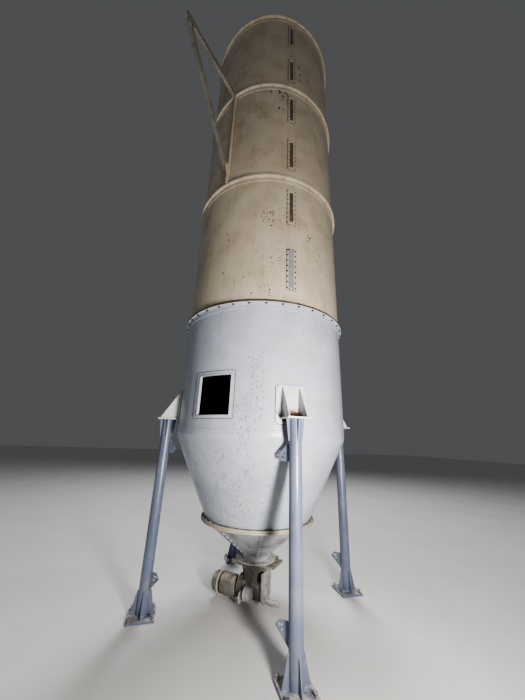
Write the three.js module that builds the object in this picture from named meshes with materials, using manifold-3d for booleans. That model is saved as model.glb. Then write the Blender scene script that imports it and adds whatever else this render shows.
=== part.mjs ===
// Flour silo: a conical hopper and four bolted ring sections on four tube legs.
// Millimetres, +Z up. The silo's own front is -Y, where one leg and the line of sight windows stand.
// An azimuth is counted in degrees from the front, positive towards +X.
import * as THREE from "three";
import { mergeVertices } from "three/addons/utils/BufferGeometryUtils.js";
import Module from "manifold-3d";

const wasm = await Module();
wasm.setup();

const gap = 0.3; // clearance between touching pieces
const facets = 72; // sides of the round shells
const cutReach = [850, 1150]; // radii between which a bar is pushed out to cut or outline the shell's plates
const seamOverlap = 1; // how far joined solids run into each other

// Shell
const shellRadius = 1000;
const wall = 5;
const coneWall = 4;
const junctionZ = 1702; // hopper meets cylinder
const kneeZ = 1650; // top of the hopper's cone, under its short upright skirt
const hopperLowZ = 814;
const hopperLowRadius = 590;
const ringPitch = 1754; // height of one ring section, flange to flange
const firstFlangeZ = 2976; // underside of the lowest flange pair
const flangeThick = 26;
const flangeRadius = 1035;
const seamAzimuth = -15; // middle of the front halves; the halves meet a quarter turn either side
const sectionNames = ["b", "c", "d"];
const flangeZ = [0, 1, 2, 3].map((k) => firstFlangeZ + k * ringPitch);
const shellTopZ = flangeZ[3] + flangeThick;

// Discharge cone and outlet
const hopperFlangeRadius = 630;
const hopperFlangeThick = 14;
const coneTopZ = hopperLowZ - 2 * hopperFlangeThick - 2;
const outletRadius = 150;
const outletZ = 447;
const collarLowZ = 398;
const outletFlangeRadius = 216;
const outletFlangeThick = 12;

// Legs and their brackets
const legCircle = 1106; // radius of the circle of leg axes
const legRadius = 54;
const legTurns = { front: 0, right: 90, rear: 180, left: 270 };
const seatZ = 1805;
const seatThick = 15;
const seatHalf = 110;
const seatReach = 105; // from the leg axis outwards
const padThick = 12;
const padHalf = 150;
const padLowZ = 1760;
const padHighZ = 2125;
const padCorner = 40;
const gussetHalfSpacing = 85;
const gussetThick = 10;
const gussetHighZ = 2095;
const gussetReach = 1184;
const footHalf = 125;
const footThick = 20;
const finThick = 8;
const footFin = { reach: 108, tip: 64, height: 190 };
const headFin = { reach: 86, tip: 64, height: 185 };
const lugThick = 8;
const lugRoot = 50; // inside the tube wall
const upperLug = [[lugRoot, 1452], [137, 1452], [166, 1500], [78, 1588], [lugRoot, 1600]];
const lowerLug = [[lugRoot, 213], [54, 213], [168, 323], [127, 367], [lugRoot, 367]];

// Inspection hatch, its door missing
const hatch = { azimuth: -44.1, width: 372, lowZ: 1830, highZ: 2213, corner: 10 };
const hatchPad = { azimuth: -44.6, width: 466, lowZ: 1798, highZ: 2256, corner: 20, thick: 9 };
const hatchLip = { width: 16, thick: 5 };
const hatchSleeve = { wall: 4, backRadius: 985 };

// Sight windows, two in each ring section
const sight = { width: 110, height: 540, thick: 7, corner: 8, paneWidth: 48, paneHeight: 450, paneDepth: 4 };
const slot = { margin: 4, corner: 10 }; // the opening cut in the shell behind a pane
const sightQuarter = 438; // from a section's joint to its lower window, and from its upper one to the next
const coverPlate = { width: 63, height: 490, thick: 4, corner: 6 };

// Triangular console on the third ring section, in one upright plane through the silo's axis
const consoleFrame = { azimuth: -48.1, reach: 2000, strutLow: [1052, 4985], strutHigh: [1948, 6436] };
const post = { width: 50, stand: 45, thick: 7 };
const angleBar = { leg: 50, thick: 6 };
const gussetPlate = 8;
const lowGusset = [[1002, 4757], [1056, 4757], [1054, 4900], [1092, 5020], [1070, 5085], [1002, 5040]];
const highGusset = [[1840, 6556], [1996, 6556], [1996, 6480], [1950, 6395], [1895, 6395]];

// Feeder under the outlet: its axis lies level, is turned in plan and stands forward of the silo's axis
const feeder = { turn: -43.7, forward: 70, z: 156, radius: 92, left: -120, right: 158 };
const feederCover = { radius: 104, thick: 14 };
const endPlate = { lowZ: 66, highZ: 336, half: 105, chamfer: 45 };
const feederNeck = { topRadius: 150, lowRadius: 70, lowZ: 172, wall: 6 };
const gate = { left: -200, right: 265, depth: 360, thick: 30 };
const gearbox = { forward: 190, z: 114, left: -108, right: -12, radius: 46 };
const motor = { forward: 190, z: 146, right: 62, radius: 60 };

// Conveying line into the feeder: a tapered sleeve, then a drum with a ring on its end
const line = { forward: 80, z: 132 };
const inletDrum = { left: -345, right: -171, radius: 98, ringRadius: 80, ringThick: 8, shaftRadius: 42 };
const drumPipe = { radius: 50, left: -358 };
const sleeve = { left: -445, leftRadius: 88, rightRadius: 104, lip: 14, lipRadius: 112 };
const stub = { right: 320, radius: 24, z: 88 };

// Roof
const roofRise = 170;
const roofWall = 5;
const manhole = { radius: 250, wall: 6, rise: 120, lidRadius: 285, lidThick: 14 };
const roofStubs = {
  vent_collar: { azimuth: 140, circle: 620, radius: 110, rise: 190, flange: 32 },
  fill_pipe: { azimuth: -120, circle: 580, radius: 62, rise: 300, flange: 28 },
};
const blankThick = 14;

const radians = (degrees) => (degrees * Math.PI) / 180;

const paints = {
  white: { color: 0xdcdedd, roughness: 0.45, metalness: 0.0 },
  cream: { color: 0xcfc3a6, roughness: 0.5, metalness: 0.0 },
  legGrey: { color: 0xaab3c2, roughness: 0.4, metalness: 0.1 },
  ringCream: { color: 0xd8cfb8, roughness: 0.5, metalness: 0.0 },
  glassDark: { color: 0x2f2a24, roughness: 0.2, metalness: 0.0 },
  plateGrey: { color: 0x9aa3ad, roughness: 0.5, metalness: 0.2 },
  steel: { color: 0x9b978c, roughness: 0.5, metalness: 0.6 },
  castGrey: { color: 0xb5b1a4, roughness: 0.6, metalness: 0.3 },
};

// A three.js geometry as a solid, turned right side out
function solidOf(geometry) {
  const bare = geometry.clone();
  bare.deleteAttribute("normal");
  bare.deleteAttribute("uv");
  const merged = mergeVertices(bare, 1e-4);
  const corners = merged.attributes.position.array;
  const triangles = Uint32Array.from(merged.index.array);
  let volume = 0;
  const a = new THREE.Vector3();
  const b = new THREE.Vector3();
  const c = new THREE.Vector3();
  for (let i = 0; i < triangles.length; i += 3) {
    a.fromArray(corners, 3 * triangles[i]);
    b.fromArray(corners, 3 * triangles[i + 1]);
    c.fromArray(corners, 3 * triangles[i + 2]);
    volume += a.dot(b.cross(c));
  }
  if (volume < 0) {
    for (let i = 0; i < triangles.length; i += 3) {
      [triangles[i + 1], triangles[i + 2]] = [triangles[i + 2], triangles[i + 1]];
    }
  }
  return new wasm.Manifold(new wasm.Mesh({ numProp: 3, vertProperties: corners, triVerts: triangles }));
}

// A solid back as a three.js geometry
function geometryOf(solid) {
  const mesh = solid.getMesh();
  const geometry = new THREE.BufferGeometry();
  geometry.setAttribute("position", new THREE.BufferAttribute(mesh.vertProperties.slice(), 3));
  geometry.setIndex(new THREE.BufferAttribute(mesh.triVerts.slice(), 1));
  geometry.computeVertexNormals();
  return geometry;
}

function joined(solids) {
  return solids.reduce((whole, next) => whole.add(next));
}

// A profile of [radius, height] points turned about the silo's axis, its first facet edge at an azimuth
function turned(profile, azimuth = 0) {
  const points = profile.map(([r, z]) => new THREE.Vector2(r, z));
  return solidOf(new THREE.LatheGeometry(points, facets).rotateX(Math.PI / 2).rotateZ(radians(azimuth)));
}

function ring(innerRadius, outerRadius, lowZ, highZ) {
  return turned([[innerRadius, lowZ], [outerRadius, lowZ], [outerRadius, highZ],
    [innerRadius, highZ], [innerRadius, lowZ]]);
}

function core(radius, lowZ, highZ, azimuth = 0) {
  return turned([[0, lowZ], [radius, lowZ], [radius, highZ], [0, highZ]], azimuth);
}

// A box between two corners, turned to an azimuth
function block(low, high, azimuth = 0) {
  const size = high.map((v, i) => v - low[i]);
  const geometry = new THREE.BoxGeometry(...size);
  geometry.translate(...low.map((v, i) => v + size[i] / 2));
  return solidOf(geometry.rotateZ(radians(azimuth)));
}

// An upright rounded rectangle, pushed outwards through the shell at an azimuth
function roundedBar(width, lowZ, highZ, corner, azimuth, [innerRadius, outerRadius] = cutReach) {
  const shape = new THREE.Shape();
  const half = width / 2;
  shape.moveTo(-half + corner, lowZ);
  shape.lineTo(half - corner, lowZ);
  shape.absarc(half - corner, lowZ + corner, corner, -Math.PI / 2, 0);
  shape.absarc(half - corner, highZ - corner, corner, 0, Math.PI / 2);
  shape.absarc(-half + corner, highZ - corner, corner, Math.PI / 2, Math.PI);
  shape.absarc(-half + corner, lowZ + corner, corner, Math.PI, 1.5 * Math.PI);
  const options = { depth: outerRadius - innerRadius, bevelEnabled: false, curveSegments: 4 };
  const geometry = new THREE.ExtrudeGeometry(shape, options);
  geometry.rotateX(Math.PI / 2);
  geometry.translate(0, -innerRadius, 0);
  return solidOf(geometry.rotateZ(radians(azimuth)));
}

// A plate in an upright plane: outline points are [distance, z] along a plan direction from a start point
function uprightPlate(outline, thick, direction, start = [0, 0]) {
  const shape = new THREE.Shape(outline.map(([d, z]) => new THREE.Vector2(d, z)));
  const geometry = new THREE.ExtrudeGeometry(shape, { depth: thick, bevelEnabled: false });
  geometry.translate(0, 0, -thick / 2);
  geometry.rotateX(Math.PI / 2);
  geometry.rotateZ(direction);
  return solidOf(geometry.translate(start[0], start[1], 0));
}

// A round bar lying level along the feeder's direction, between two stations on an axis
function feederBar(radius, left, right, axis = feeder, leftRadius = radius) {
  const { forward, z } = axis;
  const geometry = new THREE.CylinderGeometry(leftRadius, radius, right - left, 32);
  geometry.rotateZ(Math.PI / 2);
  geometry.translate((left + right) / 2, -forward, z);
  return solidOf(geometry.rotateZ(radians(feeder.turn)));
}

// An upright round bar with its axis at a plan position
function upright(radius, lowZ, highZ, x = 0, y = 0, sides = 24) {
  const geometry = new THREE.CylinderGeometry(radius, radius, highZ - lowZ, sides);
  geometry.rotateX(Math.PI / 2);
  return solidOf(geometry.translate(x, y, (lowZ + highZ) / 2));
}

// The half of a solid in front of the seams, or behind them
function half(solid, front) {
  const far = 3000;
  const low = front ? [-far, -far, 0] : [-far, gap / 2, 0];
  const high = front ? [far, -gap / 2, 3 * far] : [far, far, 3 * far];
  return solid.intersect(block(low, high, seamAzimuth));
}

const silo = new THREE.Group();

function place(name, solid, paint, parent = silo) {
  const mesh = new THREE.Mesh(geometryOf(solid), new THREE.MeshStandardMaterial(paints[paint]));
  mesh.name = name;
  parent.add(mesh);
  return mesh;
}

// Shell sections: the white lower one with the hatch, and three cream ones with sight windows
function hatchBar(margin) {
  const { azimuth, width, lowZ, highZ, corner } = hatch;
  return roundedBar(width + 2 * margin, lowZ - margin, highZ + margin, corner + margin, azimuth);
}

function windowCentres(section) {
  const joint = flangeZ[section] + flangeThick / 2;
  return [joint + sightQuarter, joint + ringPitch - sightQuarter];
}

function slotCut(z) {
  const halfHeight = sight.paneHeight / 2 + slot.margin;
  return roundedBar(sight.paneWidth + 2 * slot.margin, z - halfHeight, z + halfHeight, slot.corner, 0);
}

function buildShell() {
  const lowJoint = flangeZ[0] + flangeThick / 2;
  const lower = ring(shellRadius - wall, shellRadius, junctionZ + gap, lowJoint - gap / 2);
  place("lower_shell_front", half(lower.subtract(hatchBar(hatchSleeve.wall + gap)), true), "white");
  place("lower_shell_rear", half(lower, false), "white");
  sectionNames.forEach((name, k) => {
    const lowZ = flangeZ[k] + flangeThick / 2 + gap / 2;
    const highZ = k === 2 ? shellTopZ : flangeZ[k + 1] + flangeThick / 2 - gap / 2;
    const whole = ring(shellRadius - wall, shellRadius, lowZ, highZ);
    const slots = joined(windowCentres(k).map(slotCut));
    place(`shell_${name}_front`, half(whole.subtract(slots), true), "cream");
    place(`shell_${name}_rear`, half(whole, false), "cream");
  });
  flangeZ.forEach((z, k) => {
    const name = k === 3 ? "top_flange" : `flange_${k + 1}`;
    place(name, ring(shellRadius + gap, flangeRadius, z, z + flangeThick), k ? "ringCream" : "white");
  });
}

function buildHopper() {
  const slope = (shellRadius - hopperLowRadius) / (kneeZ - hopperLowZ);
  const inset = wall * Math.hypot(1, slope);
  const innerKneeZ = kneeZ + (inset - wall) / slope;
  const cone = turned([[hopperLowRadius - inset, hopperLowZ], [hopperLowRadius, hopperLowZ],
    [shellRadius, kneeZ], [shellRadius, junctionZ], [shellRadius - wall, junctionZ],
    [shellRadius - wall, innerKneeZ], [hopperLowRadius - inset, hopperLowZ]]);
  place("hopper_front", half(cone, true), "white");
  place("hopper_rear", half(cone, false), "white");
  const bore = hopperLowRadius - inset;
  const flangeTop = hopperLowZ - gap;
  const flangeLow = flangeTop - hopperFlangeThick;
  place("hopper_flange", ring(bore, hopperFlangeRadius, flangeLow, flangeTop), "white");
  place("cone_flange", ring(bore, hopperFlangeRadius, coneTopZ + gap, flangeLow - gap), "white");
}

function buildDischargeCone() {
  const inset = coneWall * 1.3;
  const bore = outletRadius - coneWall;
  const flangeTop = collarLowZ + outletFlangeThick;
  place("discharge_cone", turned([[hopperLowRadius - inset, coneTopZ], [bore, outletZ], [bore, collarLowZ],
    [outletFlangeRadius, collarLowZ], [outletFlangeRadius, flangeTop], [outletRadius, flangeTop],
    [outletRadius, outletZ], [hopperLowRadius, coneTopZ], [hopperLowRadius - inset, coneTopZ]]), "white");
}

function buildHatchFrame() {
  const { azimuth, width, corner, thick } = hatchPad;
  const outline = roundedBar(width, hatchPad.lowZ, hatchPad.highZ, corner, azimuth);
  const lowZ = hatchPad.lowZ - seamOverlap;
  const highZ = hatchPad.highZ + seamOverlap;
  const face = shellRadius + thick;
  const pad = ring(shellRadius + gap, face, lowZ, highZ).intersect(outline);
  const rim = ring(face - seamOverlap, face + hatchLip.thick, lowZ, highZ);
  const lip = rim.intersect(hatchBar(hatchLip.width));
  const through = ring(hatchSleeve.backRadius, face, lowZ, highZ).intersect(hatchBar(hatchSleeve.wall));
  place("hatch_frame", joined([pad, lip, through]).subtract(hatchBar(0)), "white");
}

function buildSightWindows() {
  const back = core(shellRadius + gap, 2000, 9000);
  const face = shellRadius + sight.thick;
  sectionNames.forEach((name, k) => {
    windowCentres(k).forEach((z, upper) => {
      const low = z - sight.height / 2;
      const frame = roundedBar(sight.width, low, low + sight.height, sight.corner, 0, [cutReach[0], face]);
      const pocket = block([-sight.paneWidth / 2, -face - 1, z - sight.paneHeight / 2],
        [sight.paneWidth / 2, -face + sight.paneDepth, z + sight.paneHeight / 2]);
      const cover = roundedBar(coverPlate.width, z - coverPlate.height / 2, z + coverPlate.height / 2,
        coverPlate.corner, 0, [face - seamOverlap, face + coverPlate.thick]);
      const blanked = k === 0 && !upper;
      const solid = (blanked ? frame.add(cover) : frame.subtract(pocket)).subtract(back);
      place(`sight_window_${name}_${upper ? "upper" : "lower"}`, solid, blanked ? "plateGrey" : "glassDark");
    });
  });
}

// One bracket, at the front: a pad on the shell, two gussets and the seat that the leg is welded to
function bracketSolid() {
  const padRadius = shellRadius + padThick;
  const skin = ring(shellRadius + gap, padRadius, padLowZ - seamOverlap, padHighZ + seamOverlap);
  const pad = skin.intersect(roundedBar(2 * padHalf, padLowZ, padHighZ, padCorner, 0));
  const root = shellRadius - 20;
  const seat = block([-seatHalf, -(legCircle + seatReach), seatZ], [seatHalf, -root, seatZ + seatThick]);
  const outline = [[root, seatZ + seatThick - 1], [gussetReach, seatZ + seatThick - 1],
    [gussetReach, seatZ + seatThick + 12], [padRadius + 12, gussetHighZ], [root, gussetHighZ]];
  const gussets = [-1, 1].map((side) => uprightPlate(outline, gussetThick, -Math.PI / 2,
    [side * gussetHalfSpacing, 0]));
  return joined([pad, seat, ...gussets]).subtract(core(shellRadius + gap, 1500, 2500));
}

// One leg, at the front: tube, fins at head and foot, foot plate, and two lugs for a brace on one side
function legSolid(braceSide) {
  const centre = [0, -legCircle];
  const headZ = seatZ - gap;
  const tube = new THREE.CylinderGeometry(legRadius, legRadius, headZ - footThick + 1, 24);
  tube.rotateX(Math.PI / 2);
  tube.translate(0, -legCircle, (headZ + footThick - 1) / 2);
  const plate = block([-footHalf, -legCircle - footHalf, 0], [footHalf, -legCircle + footHalf, footThick]);
  const root = legRadius - 4;
  const footOutline = [[root, footThick - 1], [footFin.reach, footThick - 1], [footFin.reach, footThick + 6],
    [footFin.tip, footThick + footFin.height], [root, footThick + footFin.height]];
  const headOutline = [[root, headZ - headFin.height], [headFin.tip, headZ - headFin.height],
    [headFin.reach, headZ - 6], [headFin.reach, headZ], [root, headZ]];
  const quarterTurns = [0, 1, 2, 3].map((k) => (k * Math.PI) / 2);
  const fins = quarterTurns.flatMap((turn) => [footOutline, headOutline].map((outline) =>
    uprightPlate(outline, finThick, turn, centre)));
  const towardsNeighbour = Math.PI / 2 - (braceSide * Math.PI) / 4;
  const lugs = [upperLug, lowerLug].map((outline) =>
    uprightPlate(outline, lugThick, towardsNeighbour, centre));
  return joined([solidOf(tube), plate, ...fins, ...lugs]);
}

function buildLegs() {
  const bracket = bracketSolid();
  const legs = { "-1": legSolid(-1), 1: legSolid(1) };
  for (const [name, turn] of Object.entries(legTurns)) {
    const stand = new THREE.Group();
    stand.rotation.z = radians(turn);
    silo.add(stand);
    const braceSide = turn % 180 === 0 ? -1 : 1;
    place(`bracket_${name}`, bracket, "white", stand);
    place(`leg_${name}`, legs[braceSide], "legGrey", stand);
  }
}

// An angle bar between two [radius, z] points of the console's plane, one of its legs in that plane
function angleBarSolid(from, to, shift) {
  const { leg, thick } = angleBar;
  const outline = [[-leg, 0], [0, 0], [0, leg], [-thick, leg], [-thick, thick], [-leg, thick]];
  const shape = new THREE.Shape(outline.map(([x, y]) => new THREE.Vector2(x, y)));
  const length = Math.hypot(to[0] - from[0], to[1] - from[1]);
  const geometry = new THREE.ExtrudeGeometry(shape, { depth: length, bevelEnabled: false });
  const across = new THREE.Vector3(1, 0, 0);
  const along = new THREE.Vector3(0, from[0] - to[0], to[1] - from[1]).normalize();
  const inwards = new THREE.Vector3().crossVectors(along, across);
  geometry.applyMatrix4(new THREE.Matrix4().makeBasis(across, inwards, along));
  return solidOf(geometry.translate(shift, -from[0], from[1]));
}

function buildConsole() {
  const frame = new THREE.Group();
  frame.rotation.z = radians(consoleFrame.azimuth);
  silo.add(frame);
  const back = core(shellRadius + gap, 4000, 7000, -consoleFrame.azimuth);
  const postLowZ = flangeZ[1] + flangeThick + gap;
  const postHighZ = flangeZ[2] - gap;
  const beamZ = flangeZ[2] + flangeThick + gap;
  const flat = block([0, -shellRadius - post.thick, postLowZ], [post.width, -900, postHighZ]);
  const standing = block([0, -shellRadius - post.stand, postLowZ], [post.thick, -900, postHighZ]);
  place("console_post", flat.add(standing).subtract(back), "cream", frame);
  const plateX = -gap - gussetPlate / 2;
  const barX = -2 * gap - gussetPlate;
  const plates = { console_low_gusset: lowGusset, console_high_gusset: highGusset };
  for (const [name, outline] of Object.entries(plates)) {
    const plate = uprightPlate(outline, gussetPlate, -Math.PI / 2, [plateX, 0]);
    place(name, plate.subtract(back), "white", frame);
  }
  const beamFrom = [shellRadius + 6, beamZ];
  place("console_beam", angleBarSolid(beamFrom, [consoleFrame.reach, beamZ], barX), "steel", frame);
  place("console_strut", angleBarSolid(consoleFrame.strutLow, consoleFrame.strutHigh, barX), "steel", frame);
}

// The neck leans forward from the gate down to the feeder and is cut to fit over it
function neckSolid(topZ, wallThick) {
  const { topRadius, lowRadius, lowZ } = feederNeck;
  const height = topZ - lowZ;
  const geometry = new THREE.CylinderGeometry(topRadius - wallThick, lowRadius - wallThick, height, 32);
  geometry.rotateX(Math.PI / 2);
  const lean = feeder.forward / height;
  geometry.applyMatrix4(new THREE.Matrix4().makeShear(0, 0, 0, 0, 0, lean));
  geometry.translate(0, -feeder.forward / 2, 0);
  geometry.translate(0, 0, lowZ + height / 2);
  return solidOf(geometry.rotateZ(radians(feeder.turn)));
}

function buildFeeder() {
  const gateTop = collarLowZ - gap;
  const gateLow = gateTop - gate.thick;
  place("slide_gate", block([gate.left, -gate.depth / 2, gateLow], [gate.right, gate.depth / 2, gateTop],
    feeder.turn), "castGrey");
  const bodyCut = feederBar(feeder.radius + gap, feeder.left - 20, feeder.right + 20);
  const neckTop = gateLow - gap;
  const neck = neckSolid(neckTop, 0).subtract(neckSolid(neckTop, feederNeck.wall));
  place("feeder_neck", neck.subtract(bodyCut), "castGrey");
  const coverLeft = feeder.left - feederCover.thick;
  const body = feederBar(feeder.radius, feeder.left - seamOverlap, feeder.right + seamOverlap);
  const cover = feederBar(feederCover.radius, coverLeft, feeder.left);
  const tail = feederBar(stub.radius, feeder.right, stub.right, { forward: line.forward, z: stub.z });
  place("feeder_housing", joined([body, cover, endPlateSolid(), tail]), "castGrey");
  const gearBar = feederBar(gearbox.radius, gearbox.left, gearbox.right + seamOverlap, gearbox);
  const motorBar = feederBar(motor.radius, gearbox.right, motor.right, motor);
  place("drive_motor", gearBar.add(motorBar).subtract(bodyCut), "castGrey");
  const drum = feederBar(inletDrum.radius, inletDrum.left, inletDrum.right, line);
  const { ringRadius, ringThick, shaftRadius } = inletDrum;
  const drumRing = feederBar(ringRadius, inletDrum.right - seamOverlap, inletDrum.right + ringThick, line);
  const shaft = feederBar(shaftRadius, inletDrum.right, coverLeft - gap, line);
  const pipe = feederBar(drumPipe.radius, drumPipe.left, inletDrum.left + seamOverlap, line);
  place("inlet_drum", joined([drum, drumRing, shaft, pipe]), "castGrey");
  const sleeveRight = drumPipe.left - gap;
  const sleeveBar = feederBar(sleeve.rightRadius, sleeve.left, sleeveRight, line, sleeve.leftRadius);
  const lip = feederBar(sleeve.lipRadius, sleeveRight - sleeve.lip, sleeveRight, line);
  place("line_sleeve", sleeveBar.add(lip), "castGrey");
}

// The upright plate on the feeder's right end, its lower corners cut off
function endPlateSolid() {
  const { lowZ, highZ, half: reach, chamfer } = endPlate;
  const outline = [[-reach, lowZ + chamfer], [-reach + chamfer, lowZ], [reach - chamfer, lowZ],
    [reach, lowZ + chamfer], [reach, highZ], [-reach, highZ]].map(([d, z]) => [feeder.forward + d, z]);
  const turn = radians(feeder.turn);
  const station = feeder.right + feederCover.thick / 2;
  const start = [station * Math.cos(turn), station * Math.sin(turn)];
  return uprightPlate(outline, feederCover.thick, turn - Math.PI / 2, start);
}

function stubCentre({ circle, azimuth }) {
  return [circle * Math.sin(radians(azimuth)), -circle * Math.cos(radians(azimuth))];
}

function buildRoof() {
  const rimZ = shellTopZ + gap;
  const eyeRadius = manhole.radius + gap;
  const peakZ = rimZ + roofRise;
  const inner = shellRadius - wall;
  const roof = turned([[inner, rimZ], [flangeRadius, rimZ], [flangeRadius, rimZ + roofWall],
    [shellRadius, rimZ + roofWall], [eyeRadius, peakZ + roofWall], [eyeRadius, peakZ], [inner, rimZ]]);
  const openings = Object.values(roofStubs).map((s) => upright(s.radius, rimZ - 1, peakZ, ...stubCentre(s)));
  place("roof_cone", roof.subtract(joined(openings)), "cream");
  const neckTop = peakZ + manhole.rise;
  place("manhole_neck", ring(manhole.radius - manhole.wall, manhole.radius, peakZ - 8, neckTop), "ringCream");
  place("manhole_lid", core(manhole.lidRadius, neckTop + gap, neckTop + gap + manhole.lidThick), "cream");
  const slope = roofRise / (shellRadius - eyeRadius);
  const under = turned([[0, rimZ - 1], [shellRadius, rimZ - 1], [shellRadius, rimZ + roofWall + gap],
    [0, rimZ + roofWall + gap + slope * shellRadius]]);
  for (const [name, s] of Object.entries(roofStubs)) {
    const centre = stubCentre(s);
    const topZ = rimZ + s.rise;
    const tube = upright(s.radius, rimZ, topZ, ...centre);
    const blank = upright(s.radius + s.flange, topZ - 1, topZ + blankThick, ...centre);
    const bore = upright(s.radius - roofWall, rimZ - 1, topZ - 1, ...centre);
    place(name, tube.add(blank).subtract(under).subtract(bore), "ringCream");
  }
}

buildShell();
buildHopper();
buildDischargeCone();
buildHatchFrame();
buildSightWindows();
buildLegs();
buildConsole();
buildFeeder();
buildRoof();

// The origin is on the floor, under the middle of the whole silo
const extent = new THREE.Box3().setFromObject(silo);
silo.position.set(-(extent.min.x + extent.max.x) / 2, -(extent.min.y + extent.max.y) / 2, 0);

export default silo;
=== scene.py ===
import math
import bpy
import bmesh
from mathutils import Matrix, Vector


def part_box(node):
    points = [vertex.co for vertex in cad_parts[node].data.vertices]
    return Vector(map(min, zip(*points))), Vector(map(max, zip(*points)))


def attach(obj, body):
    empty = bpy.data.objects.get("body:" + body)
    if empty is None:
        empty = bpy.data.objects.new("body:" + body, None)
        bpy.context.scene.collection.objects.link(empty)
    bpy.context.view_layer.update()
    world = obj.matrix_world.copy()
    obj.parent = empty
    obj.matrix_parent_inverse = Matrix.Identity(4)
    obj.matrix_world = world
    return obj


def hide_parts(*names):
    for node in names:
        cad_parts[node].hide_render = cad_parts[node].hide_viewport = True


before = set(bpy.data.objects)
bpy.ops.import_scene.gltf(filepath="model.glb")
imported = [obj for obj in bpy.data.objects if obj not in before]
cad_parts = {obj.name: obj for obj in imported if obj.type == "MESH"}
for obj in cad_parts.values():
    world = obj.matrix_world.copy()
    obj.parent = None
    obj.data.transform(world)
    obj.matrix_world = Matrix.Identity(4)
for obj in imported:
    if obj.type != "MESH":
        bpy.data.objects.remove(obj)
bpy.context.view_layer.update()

# Everything below is drawn in millimetres round the silo's own axis, with azimuths counted from the
# front leg (-Y) towards +X, and is then put in the frame's place.
ringLow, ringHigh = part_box("flange_2")
axisPoint = (ringLow + ringHigh) / 2
placing = Matrix.Translation((axisPoint.x, axisPoint.y, 0)) @ Matrix.Scale(0.001, 4)

silo = {
    "radius": 1000,
    "wall": 5,
    "junctionZ": 1702,      # hopper meets cylinder
    "kneeZ": 1650,          # top of the hopper's cone, under its upright skirt
    "hopperLowZ": 814,
    "hopperLowRadius": 590,
    "firstRingZ": 2976,
    "ringPitch": 1754,
    "ringThick": 26,
    "ringRadius": 1035,
    "segments": 256,
}
ringZ = [silo["firstRingZ"] + k * silo["ringPitch"] for k in range(4)]
shellTopZ = ringZ[3] + silo["ringThick"]


def radial(azimuth, radius, z=0.0):
    a = math.radians(azimuth)
    return Vector((radius * math.sin(a), -radius * math.cos(a), z))


def inFrame(point):
    return placing @ Vector(point)


def feed(tree, node, inputs):
    # each input is given a plain value, or the socket that drives it
    for key, value in inputs.items():
        if isinstance(value, bpy.types.NodeSocket):
            tree.links.new(value, node.inputs[key])
        else:
            node.inputs[key].default_value = value


def addNode(tree, kind, inputs=None, **settings):
    node = tree.nodes.new(kind)
    for key, value in settings.items():
        setattr(node, key, value)
    feed(tree, node, inputs or {})
    return node


def calc(tree, operation, *terms, clamp=False):
    node = addNode(tree, "ShaderNodeMath", dict(enumerate(terms)), operation=operation, use_clamp=clamp)
    return node.outputs[0]


def times(tree, product, *factors):
    for factor in factors:
        product = calc(tree, "MULTIPLY", product, factor)
    return product


def vectorCalc(tree, operation, *terms, part=0):
    return addNode(tree, "ShaderNodeVectorMath", dict(enumerate(terms)), operation=operation).outputs[part]


def vectorOf(tree, x, y, z):
    return addNode(tree, "ShaderNodeCombineXYZ", {0: x, 1: y, 2: z}).outputs[0]


def heightOf(tree, vector):
    return addNode(tree, "ShaderNodeSeparateXYZ", {0: vector}).outputs["Z"]


def objectPlace(tree):
    return addNode(tree, "ShaderNodeTexCoord").outputs["Object"]


def ramp(tree, value, low, high, toLow=0.0, toHigh=1.0):
    inputs = {"Value": value, "From Min": low, "From Max": high, "To Min": toLow, "To Max": toHigh}
    return addNode(tree, "ShaderNodeMapRange", inputs, interpolation_type="SMOOTHSTEP").outputs[0]


def blend(tree, share, *colours):
    first, second = ((*c, 1) if isinstance(c, tuple) else c for c in colours)
    return addNode(tree, "ShaderNodeMix", {0: share, 6: first, 7: second}, data_type="RGBA").outputs[2]


def colourRamp(tree, value, stops):
    # stops are (position, colour), the two ends first
    node = addNode(tree, "ShaderNodeValToRGB", {0: value})
    ends = list(node.color_ramp.elements)
    for k, (position, colour) in enumerate(stops):
        stop = ends[k] if k < 2 else node.color_ramp.elements.new(position)
        stop.position, stop.color = position, (*colour, 1)
    return node.outputs[0]


def cloud(tree, vector, scale, detail=4.0, roughness=0.55, part="Fac"):
    inputs = {"Vector": vector, "Scale": scale, "Detail": detail, "Roughness": roughness}
    return addNode(tree, "ShaderNodeTexNoise", inputs).outputs[part]


groups = {}


def shaderGroup(key, build, inputs):
    # a group with these inputs, and with the outputs that the function returns
    group = bpy.data.node_groups.new(key, "ShaderNodeTree")
    for label, value in inputs.items():
        group.interface.new_socket(label, socket_type="NodeSocketFloat").default_value = value
    made = build(group, objectPlace(group), group.nodes.new("NodeGroupInput").outputs)
    for label in made:
        kind = "NodeSocketColor" if label == "Color" else "NodeSocketFloat"
        group.interface.new_socket(label, in_out="OUTPUT", socket_type=kind)
    feed(group, group.nodes.new("NodeGroupOutput"), made)
    groups[key] = group


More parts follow.
